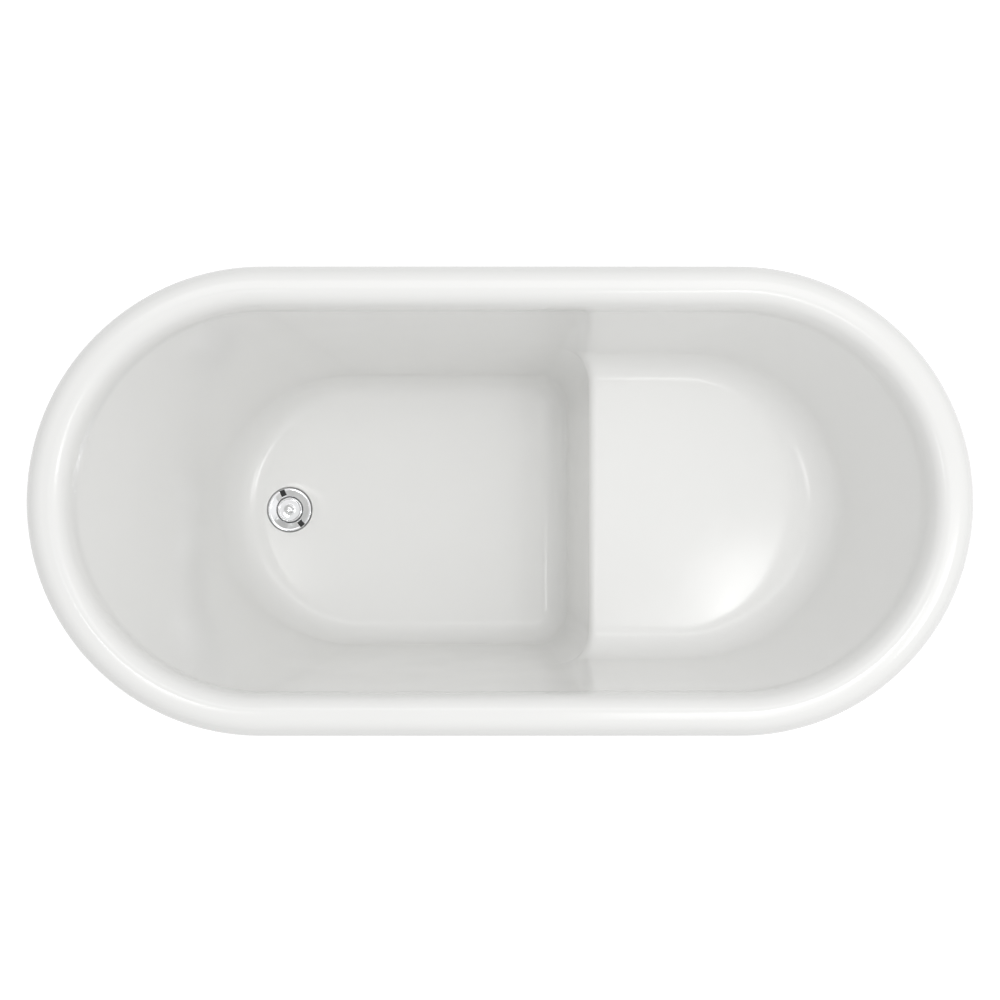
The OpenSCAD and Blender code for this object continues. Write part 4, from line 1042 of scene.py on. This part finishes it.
def plywood(name):
    """Birch plywood: grain along X on the faces, and plies on the edges."""
    mat, tree, shader = new_material(name)
    ply_pair = 3.2 * MM
    turns = math_node(tree, "MULTIPLY", upright_part(tree, coordinates(tree)), 2 * math.pi / ply_pair)
    edge_tone = ramp(tree, math_node(tree, "SINE", turns), (0.30, 0.19, 0.10), (0.62, 0.46, 0.29), (0.2, 0.5))
    grain = noise(tree, 30.0, 6.0, 0.6, (1.0, 14.0, 14.0))
    face_tone = ramp(tree, grain, (0.50, 0.35, 0.20), (0.68, 0.52, 0.34))
    normal = tree.nodes.new("ShaderNodeNewGeometry").outputs["Normal"]
    blend = tree.nodes.new("ShaderNodeMix")
    blend.data_type = "RGBA"
    tree.links.new(math_node(tree, "ABSOLUTE", upright_part(tree, normal)), blend.inputs["Factor"])
    colours = [s for s in blend.inputs if s.type == "RGBA"]
    tree.links.new(edge_tone, colours[0])
    tree.links.new(face_tone, colours[1])
    result = [s for s in blend.outputs if s.type == "RGBA"][0]
    tree.links.new(result, shader.inputs["Base Color"])
    vary_roughness(tree, shader, 50.0, 0.55, 0.8)
    add_bump(tree, shader, grain, 0.25, 0.6 * MM)
    return mat


def plastic(name, low, high, rough, scale, relief):
    """A moulded plastic or a rubber, with its grain."""
    mat, tree, shader = new_material(name)
    vary_colour(tree, shader, scale, low, high)
    vary_roughness(tree, shader, scale * 1.7, *rough)
    add_bump(tree, shader, noise(tree, 500.0, 4.0), relief, 0.3 * MM)
    return mat


# Metals and plastics: darkest and lightest colour, roughness from and to, scale of the noise, and relief
WHITE = (0.85, 0.85, 0.838)
MATERIALS = {name: make(name, *look) for name, make, *look in (
    ("basin_acrylic", acrylic, WHITE),
    ("skirt_acrylic", acrylic, WHITE),
    ("sealant", plastic, (0.70, 0.70, 0.69), (0.78, 0.78, 0.77), (0.4, 0.55), 30.0, 0.1),
    ("board", plywood),
    ("frame_steel", galvanised),
    ("bracket_zinc", metal, (0.50, 0.50, 0.47), (0.62, 0.62, 0.60), (0.28, 0.42), 40.0, 0.06),
    ("fastener_steel", metal, (0.50, 0.50, 0.48), (0.66, 0.66, 0.65), (0.2, 0.34), 60.0, 0.04),
    ("stud_steel", metal, (0.48, 0.48, 0.46), (0.62, 0.62, 0.61), (0.24, 0.38), 60.0, 0.05),
    ("pad_plastic", plastic, (0.018, 0.018, 0.02), (0.035, 0.035, 0.037), (0.45, 0.62), 40.0, 0.2),
    ("chrome", metal, (0.68, 0.69, 0.70), (0.78, 0.78, 0.79), (0.03, 0.07), 20.0, 0.01),
    ("brass", metal, (0.55, 0.40, 0.17), (0.68, 0.52, 0.25), (0.2, 0.34), 40.0, 0.05, 300.0, (1, 1, 12)),
    ("seal_rubber", plastic, (0.015, 0.015, 0.015), (0.03, 0.03, 0.03), (0.5, 0.68), 60.0, 0.25),
    ("trap_plastic", plastic, (0.72, 0.72, 0.70), (0.78, 0.78, 0.77), (0.32, 0.45), 20.0, 0.12),
)}

# Light: the floor's glow to the camera and in reflections, the even sky, and a broad glow in it, with its
# direction, strength and fading
FLOOR_GLOW = 0.45
SKY = 0.61
GLOW_FROM = (0.38, -0.01, 0.92)
GLOW = 0.63
GLOW_SPREAD = 3.0

# Lamps high above the rim: name, place in plan, size and radiance. Their mirror images are the bright lines
# on the rim and the fillets, and the glossy patch on the seat.
LAMPS_ABOVE_RIM = 1.8
LAMPS = [
    ("strip_foot", (-0.68, -0.20), (0.16, 0.30), 8),
    ("strip_seat", (1.14, -0.26), (0.30, 0.40), 7),
    ("strip_rim", (0, 0.62), (1.80, 0.42), 1.3),
    ("strip_front", (0.42, -0.38), (0.40, 0.22), 3.5),
    ("seat_gloss", (0.66, -0.20), (0.25, 0.21), 13),
]


def stage_floor():
    """A pale floor that looks white to the camera and in reflections, and keeps the tub's shadow."""
    size, tone, rough = 12, 0.75, 0.9
    verts = [(-size, -size, 0), (size, -size, 0), (size, size, 0), (-size, size, 0)]
    floor = mesh_object("studio_floor", verts, [(0, 1, 2, 3)])
    mat, tree, shader = new_material("studio_floor")
    shader.inputs["Base Color"].default_value = (*grey(tone), 1)
    shader.inputs["Roughness"].default_value = rough
    shader.inputs["Specular IOR Level"].default_value = 0.0
    ray = tree.nodes.new("ShaderNodeLightPath").outputs
    seen = math_node(tree, "MAXIMUM", ray["Is Camera Ray"], ray["Is Glossy Ray"])
    seen = math_node(tree, "MAXIMUM", seen, ray["Is Transmission Ray"])
    shader.inputs["Emission Color"].default_value = (*grey(1), 1)
    tree.links.new(math_node(tree, "MULTIPLY", seen, FLOOR_GLOW), shader.inputs["Emission Strength"])
    floor.data.materials.append(mat)


def studio_world():
    """A pale sky with a broad soft glow from above the seat's end. The camera sees it as white."""
    world = bpy.data.worlds.new("studio")
    bpy.context.scene.world = world
    world.use_nodes = True
    tree = world.node_tree
    back = tree.nodes["Background"]
    back.inputs["Color"].default_value = (*grey(1), 1)
    coords = tree.nodes.new("ShaderNodeTexCoord")
    along = tree.nodes.new("ShaderNodeVectorMath")
    along.operation = "DOT_PRODUCT"
    along.inputs[1].default_value = Vector(GLOW_FROM).normalized()
    tree.links.new(coords.outputs["Generated"], along.inputs[0])
    value = along.outputs["Value"]
    for operation, number in (("MAXIMUM", 0), ("POWER", GLOW_SPREAD), ("MULTIPLY", GLOW), ("ADD", SKY)):
        value = math_node(tree, operation, value, number)
    seen = tree.nodes.new("ShaderNodeLightPath").outputs["Is Camera Ray"]
    tree.links.new(math_node(tree, "MAXIMUM", value, seen), back.inputs["Strength"])


def soft_lamps():
    for name, (x, y), size, radiance in LAMPS:
        data = bpy.data.lights.new(name, "AREA")
        data.shape = "RECTANGLE"
        data.size, data.size_y = size
        data.energy = radiance * math.pi * size[0] * size[1]
        lamp = bpy.data.objects.new(name, data)
        bpy.context.scene.collection.objects.link(lamp)
        lamp.location = (x, y, TUB_H + LAMPS_ABOVE_RIM)
        lamp.rotation_euler = Vector((0, 0, -1)).to_track_quat("-Z", "Y").to_euler()


def camera():
    """Looks straight down on the tub, a little from its front side, as the photograph does."""
    focal_pixels, image_pixels = 2129, 1000
    above_rim = 2.9
    from_front = 0.085
    data = bpy.data.cameras.new("camera")
    data.sensor_width = 36
    data.lens = data.sensor_width * focal_pixels / image_pixels
    cam = bpy.data.objects.new("camera", data)
    bpy.context.scene.collection.objects.link(cam)
    place = Vector((0, -from_front, TUB_H + above_rim))
    aim = Vector((0, 0, TUB_H))
    cam.location = place
    cam.rotation_euler = (aim - place).to_track_quat("-Z", "Y").to_euler()
    bpy.context.scene.camera = cam


def keep_cad_nodes():
    """Gives the CAD nodes that no piece replaces their materials, and rounds their sharp edges."""
    slots = {part["node"]: part["material_slot"] for part in frame["record"]["subparts"]
             if part["node"] not in DRESSED}
    for node, slot in slots.items():
        obj = NODES[node]
        obj.data.materials.clear()
        obj.data.materials.append(MATERIALS[slot])
    for slot, width in (("frame_steel", 1.2 * MM), ("bracket_zinc", 0.4 * MM), ("board", 0.6 * MM)):
        soften([node for node in slots if slots[node] == slot], width)
    soften(["rim_bond", "rail_nuts"], 0.3 * MM)


build_basin()
build_skirt()
build_waste()
build_stopper()
build_trap()
build_feet()
build_nuts()
build_screws()
keep_cad_nodes()
stage_floor()
studio_world()
soft_lamps()
camera()

bpy.context.scene.view_settings.view_transform = "Standard"
